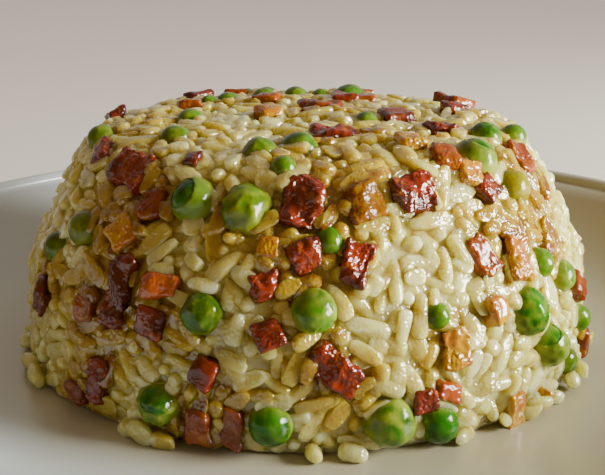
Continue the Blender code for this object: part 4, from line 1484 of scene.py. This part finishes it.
# %% [markdown]
# ## Forms of the small pieces
# A small pea is a puckered ball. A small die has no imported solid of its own, so it starts as a cube:
# its corners are moved, its faces cut finer, and then it is smoothed and roughened. It looks like the
# large dice, with far fewer faces.

# %% Forms of the small pieces
SMALL_NET = 3                 # subdivisions of a small pea
CORNER_SHIFT = 0.10           # how far a cube's corners are moved
CUTS = 6
SMALL_ROUNDS = 3
SMALL_LUMPS = (3.0, 0.14)     # scale and height, in sizes
SMALL_CRAGS = (7.0, 0.05)


def small_pea_shape(look, seed):
    bm = bmesh.new()
    bmesh.ops.create_icosphere(bm, subdivisions=SMALL_NET, radius=0.5)
    pucker(bm, look, seed)
    return bm


def small_die_shape(draw, seed):
    bm = bmesh.new()
    bmesh.ops.create_cube(bm, size=1.0)
    for vert in bm.verts:
        vert.co += Vector([draw.uniform(-CORNER_SHIFT, CORNER_SHIFT) for _ in range(3)])
    bmesh.ops.subdivide_edges(bm, edges=bm.edges[:], cuts=CUTS, use_grid_fill=True)
    smooth(bm, SMALL_ROUNDS)
    for vert in bm.verts:
        lump, crag = (height * noise.noise(vert.co * scale + seed)
                      for scale, height in (SMALL_LUMPS, SMALL_CRAGS))
        vert.co *= 1.0 + lump + crag
    return bm


sample = small_pea_shape(PeaLook(), Vector())
print("faces of a small pea:", len(sample.faces))
sample.free()

# %% [markdown]
# ## Setting the small pieces in
# Each small piece is sunk in the skin by a share of its size. All of one kind go into one mesh, so
# that the finished model has few pieces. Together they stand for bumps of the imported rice.

# %% Small pieces
SMALL_PEA_SUNK = 0.25         # how deep a small pea's middle lies, in diameters
SMALL_DIE_SUNK = 0.28
SMALL_FOLDS = 0.03
SMALL_DENTS = 0.06
SMALL_PALE = 0.5              # share of its paleness that a small pea gets
SMALL_OLIVE = 0.15
SMALL_SEEDS = 40              # the first of their seeds, past those of the large peas
SMALL_STRETCH = (0.8, 1.15)


def add_copy(whole, bm, matrix):
    """Put one shape in its place and add it to a growing bmesh; the shape is used up."""
    bmesh.ops.transform(bm, matrix=matrix, verts=bm.verts[:])
    part = bpy.data.meshes.new("part")
    bm.to_mesh(part)
    bm.free()
    whole.from_mesh(part)
    bpy.data.meshes.remove(part)


def build_small_peas():
    """All the small peas as one piece."""
    whole, pale = bmesh.new(), []
    for number, ((point, normal), size, paler) in enumerate(small_peas):
        place = standing(point - normal * size * SMALL_PEA_SUNK, normal)
        look = PeaLook(folds=SMALL_FOLDS, dents=SMALL_DENTS, pale=paler * SMALL_PALE)
        bm = small_pea_shape(look, own_seed(number + SMALL_SEEDS))
        pale += paleness(bm, look, own_seed(number + SMALL_SEEDS))
        add_copy(whole, bm, place @ Matrix.Diagonal((size, size, size, 1.0)))
    peas = as_object("small_peas", whole)
    set_value(peas.data, "pale", pale)
    set_value(peas.data, "olive", [SMALL_OLIVE] * len(pale))
    return serve(peas, pea_skin, "pea", "rice")


def build_small_dice(slot):
    """All the small dice of one kind as one piece."""
    whole = bmesh.new()
    for number, ((point, normal), size, kind) in enumerate(small_dice):
        if kind != slot:
            continue
        turn = small_draw.uniform(0.0, math.pi)
        place = standing(point - normal * size * SMALL_DIE_SUNK, normal, turn)
        long, wide = (size * small_draw.uniform(*SMALL_STRETCH) for _ in range(2))
        matrix = place @ Matrix.Diagonal((long, wide, size, 1.0))
        add_copy(whole, small_die_shape(small_draw, own_seed(number)), matrix)
    made = as_object(f"small_{slot}", whole)
    set_value(made.data, "edge", [0.0] * len(made.data.vertices))
    return serve(made, dice_finishes[slot], slot, "rice")


small_pieces = [build_small_peas()] + [build_small_dice(slot) for slot in SMALL_KINDS]
print("triangles of the small pieces:", sum(triangle_count(piece) for piece in small_pieces))

# %% [markdown]
# ## The plate
# A shallow white dish: a flat floor, a wall that curves up to a rounded rim, and a foot ring below.
# A potter turns it, and so does the spin operator: one half section with many more points than the
# packed plate has, so that the glaze reflects smoothly.

# %% Form of the plate
PLATE_R = 0.099
RIM_RISE = 0.0165
FLOOR_R = 0.064               # the flat floor ends here
PLATE_WALL = 0.0042
FOOT_R = 0.047
FOOT_WIDTH = 0.006
# The foot ring's section: offsets in its widths, and heights from the table to the plate's underside.
FOOT_RING = ((0.5, 1.0), (0.42, 0.35), (0.3, 0.0), (-0.3, 0.0), (-0.42, 0.35), (-0.5, 1.0))
FLOOR_POINTS = 5
WALL_POINTS = 14
LIP_POINTS = 10
PLATE_STEPS = 160


def plate_profile():
    """Half section from the middle of the floor out over the rim and back below."""
    rim_z, lip, foot_rise = FLOOR_Z + RIM_RISE, PLATE_WALL / 2.0, FLOOR_Z - PLATE_WALL
    wall_r = PLATE_R - lip
    points = [(FLOOR_R * step / (FLOOR_POINTS - 1), FLOOR_Z) for step in range(FLOOR_POINTS)]
    for step in range(1, WALL_POINTS):
        share = step / WALL_POINTS
        points.append((FLOOR_R + (wall_r - lip - FLOOR_R) * share, FLOOR_Z + RIM_RISE * share ** 2))
    for step in range(LIP_POINTS + 1):
        angle = math.pi * (1.0 - step / LIP_POINTS)
        points.append((wall_r + lip * math.cos(angle), rim_z - lip + lip * math.sin(angle)))
    for step in range(WALL_POINTS - 1, 0, -1):
        share = step / WALL_POINTS
        radius = FLOOR_R + (PLATE_R - FLOOR_R) * share
        points.append((radius, FLOOR_Z - PLATE_WALL + (RIM_RISE - lip) * share ** 2))
    for offset, height in FOOT_RING:
        points.append((FOOT_R + FOOT_WIDTH * offset, foot_rise * height))
    points.append((0.0, foot_rise))
    return points


print("points of the plate's half section:", len(plate_profile()))

# %% [markdown]
# ## The glaze
# The glaze is white with a thin clear coat for its sharp glint; its cool tint is painted light that
# stands in for cool daylight. Round the mound the floor is painted warmer and darker, as painted
# bounce light from the rice and painted shade. The finish does that by the distance to the middle of
# that area, which needs no picture texture.

# %% Glaze and plate
# painted light: a cool tint on the white glaze; the next colour is painted bounce light and shade
GLAZE_PAINTED_COOL = (0.53, 0.60, 0.61)
PAINTED_BOUNCE_AND_SHADE = (0.46, 0.43, 0.29)
PAINTED_BOUNCE_MIDDLE = (0.018, 0.014, 0.0)
PAINTED_BOUNCE_FULL_R = 0.066               # painted bounce light and shade are full up to this distance
PAINTED_BOUNCE_END_R = 0.098               # no painted bounce light or shade from this one on
PAINTED_BOUNCE_CLOUD = 0.12            # a faint painted bounce light further out, in clouds


def glaze_finish():
    made, tree, shader = finish("white glaze", roughness=0.26, ior=1.5, coat_weight=0.10,
                                coat_roughness=0.12)
    away = tree.nodes.new("ShaderNodeVectorMath")
    away.operation = "DISTANCE"
    away.inputs[1].default_value = PAINTED_BOUNCE_MIDDLE
    tree.links.new(tree.nodes.new("ShaderNodeTexCoord").outputs["Object"], away.inputs[0])
    # painted bounce light and shade near the mound, the painted cool tint further out
    clean = soft_rise(tree, away.outputs["Value"], PAINTED_BOUNCE_FULL_R, PAINTED_BOUNCE_END_R)
    colour = mixed(tree, clean, PAINTED_BOUNCE_AND_SHADE, GLAZE_PAINTED_COOL)
    # painted bounce light in faint clouds further out
    cloud = placed_group(tree, patches, scale=30.0, start=0.35, end=0.75)
    colour = mixed(tree, scaled(tree, cloud, PAINTED_BOUNCE_CLOUD), colour, PAINTED_BOUNCE_AND_SHADE)
    tree.links.new(colour, shader.inputs["Base Color"])
    bumps = placed_group(tree, wet_skin, broad_scale=40.0, broad_height=0.00008,
                         fine_scale=900.0, fine_height=0.000002)
    tree.links.new(bumps, shader.inputs["Normal"])
    return made


plate = serve(as_object("plate_glazed", turned(plate_profile(), PLATE_STEPS)), glaze_finish(),
              "plate", "plate")
print("plate triangles:", triangle_count(plate))

# %% [markdown]
# ## The table and the light
# The mound is lit from the right by one broad, soft source near the table, which gives the long
# glints and the dark left side. An area lamp does this; a sun lamp's light would be too hard. The
# table is pale and warm; it is painted brighter far away and given a faint painted glow, which stand
# in for light falling on it.

# %% Table and lamp
TABLE_SIZE = 8.0
TABLE_NEAR, TABLE_FAR = 0.12, 1.0     # distances between which its colour changes
NEAR_TONE = (0.70, 0.67, 0.58)
# painted light: the table's brighter colour far away
FAR_PAINTED_LIGHT_TONE = (0.94, 0.90, 0.80)
# painted light: the colour of the table's faint glow
TABLE_PAINTED_GLOW = (1.0, 0.93, 0.88, 1.0)
LAMP_PLACE = Vector((0.60, -0.15, 0.15))
LAMP_SIZE = (0.26, 0.40)
LAMP_POWER = 20.0
LAMP_TONE = (1.0, 0.98, 0.93)
LOOK_AT = Vector((0.0, 0.0, 0.03))


def even_rise(tree, value, start, end):
    """0 up to a start value, 1 from an end value, and an even slope between them."""
    rise = tree.nodes.new("ShaderNodeMapRange")
    rise.inputs["From Min"].default_value = start
    rise.inputs["From Max"].default_value = end
    tree.links.new(value, rise.inputs["Value"])
    return rise.outputs["Result"]


def table_finish():
    # painted light: the table glows a little, standing in for light falling on it
    made, tree, shader = finish("pale table", roughness=0.7, ior=1.45, emission_strength=0.24,
                                emission_color=TABLE_PAINTED_GLOW)
    away = tree.nodes.new("ShaderNodeVectorMath")
    away.operation = "LENGTH"
    tree.links.new(tree.nodes.new("ShaderNodeTexCoord").outputs["Object"], away.inputs[0])
    # painted light: the table is made brighter far away
    far = even_rise(tree, away.outputs["Value"], TABLE_NEAR, TABLE_FAR)
    colour = mixed(tree, far, NEAR_TONE, FAR_PAINTED_LIGHT_TONE)
    tree.links.new(colour, shader.inputs["Base Color"])
    return made


table_mesh = bmesh.new()
bmesh.ops.create_grid(table_mesh, x_segments=2, y_segments=2, size=TABLE_SIZE / 2.0)
table = as_object("table", table_mesh)
table.data.materials.append(table_finish())


def soft_lamp(name, place, size, power, tone):
    """A rectangular lamp that faces the mound."""
    data = bpy.data.lights.new(name, "AREA")
    data.shape = "RECTANGLE"
    data.size, data.size_y = size
    data.energy = power
    data.color = tone
    lamp = bpy.data.objects.new(name, data)
    lamp.location = place
    lamp.rotation_euler = (LOOK_AT - place).to_track_quat("-Z", "Y").to_euler()
    bpy.context.scene.collection.objects.link(lamp)
    return lamp


soft_lamp("soft lamp", LAMP_PLACE, LAMP_SIZE, LAMP_POWER, LAMP_TONE)
print("lamp of", LAMP_POWER, "watts")

# %% [markdown]
# ## The light from all round
# Shadows aren't black: pale light comes from ahead, low over the far side of the plate, and dim, warm
# light from the near left. A world with two colours gives both. It mixes them by how far a direction
# turns to the bright side, so that the glaze and the wet skins reflect a soft change of tone.

# %% Light from all round
AROUND_WAY = Vector((0.35, 0.93, 0.08)).normalized()    # towards the bright side
AROUND_WARM = (0.290, 0.158, 0.054)
AROUND_PALE = (0.56, 0.55, 0.52)
AROUND_FROM, AROUND_FULL = -0.3, 0.9      # cosines of the angle to the bright side


def light_all_round():
    """A world that is bright ahead and dim on the near left."""
    world = bpy.data.worlds.new("light all round")
    world.use_nodes = True
    tree = world.node_tree
    way = tree.nodes.new("ShaderNodeVectorMath")
    way.operation = "DOT_PRODUCT"
    way.inputs[1].default_value = AROUND_WAY
    tree.links.new(tree.nodes.new("ShaderNodeTexCoord").outputs["Generated"], way.inputs[0])
    rise = even_rise(tree, way.outputs["Value"], AROUND_FROM, AROUND_FULL)
    colour = mixed(tree, rise, AROUND_WARM, AROUND_PALE)
    tree.links.new(colour, tree.nodes["Background"].inputs["Color"])
    return world


bpy.context.scene.world = light_all_round()
print("world:", bpy.context.scene.world.name)
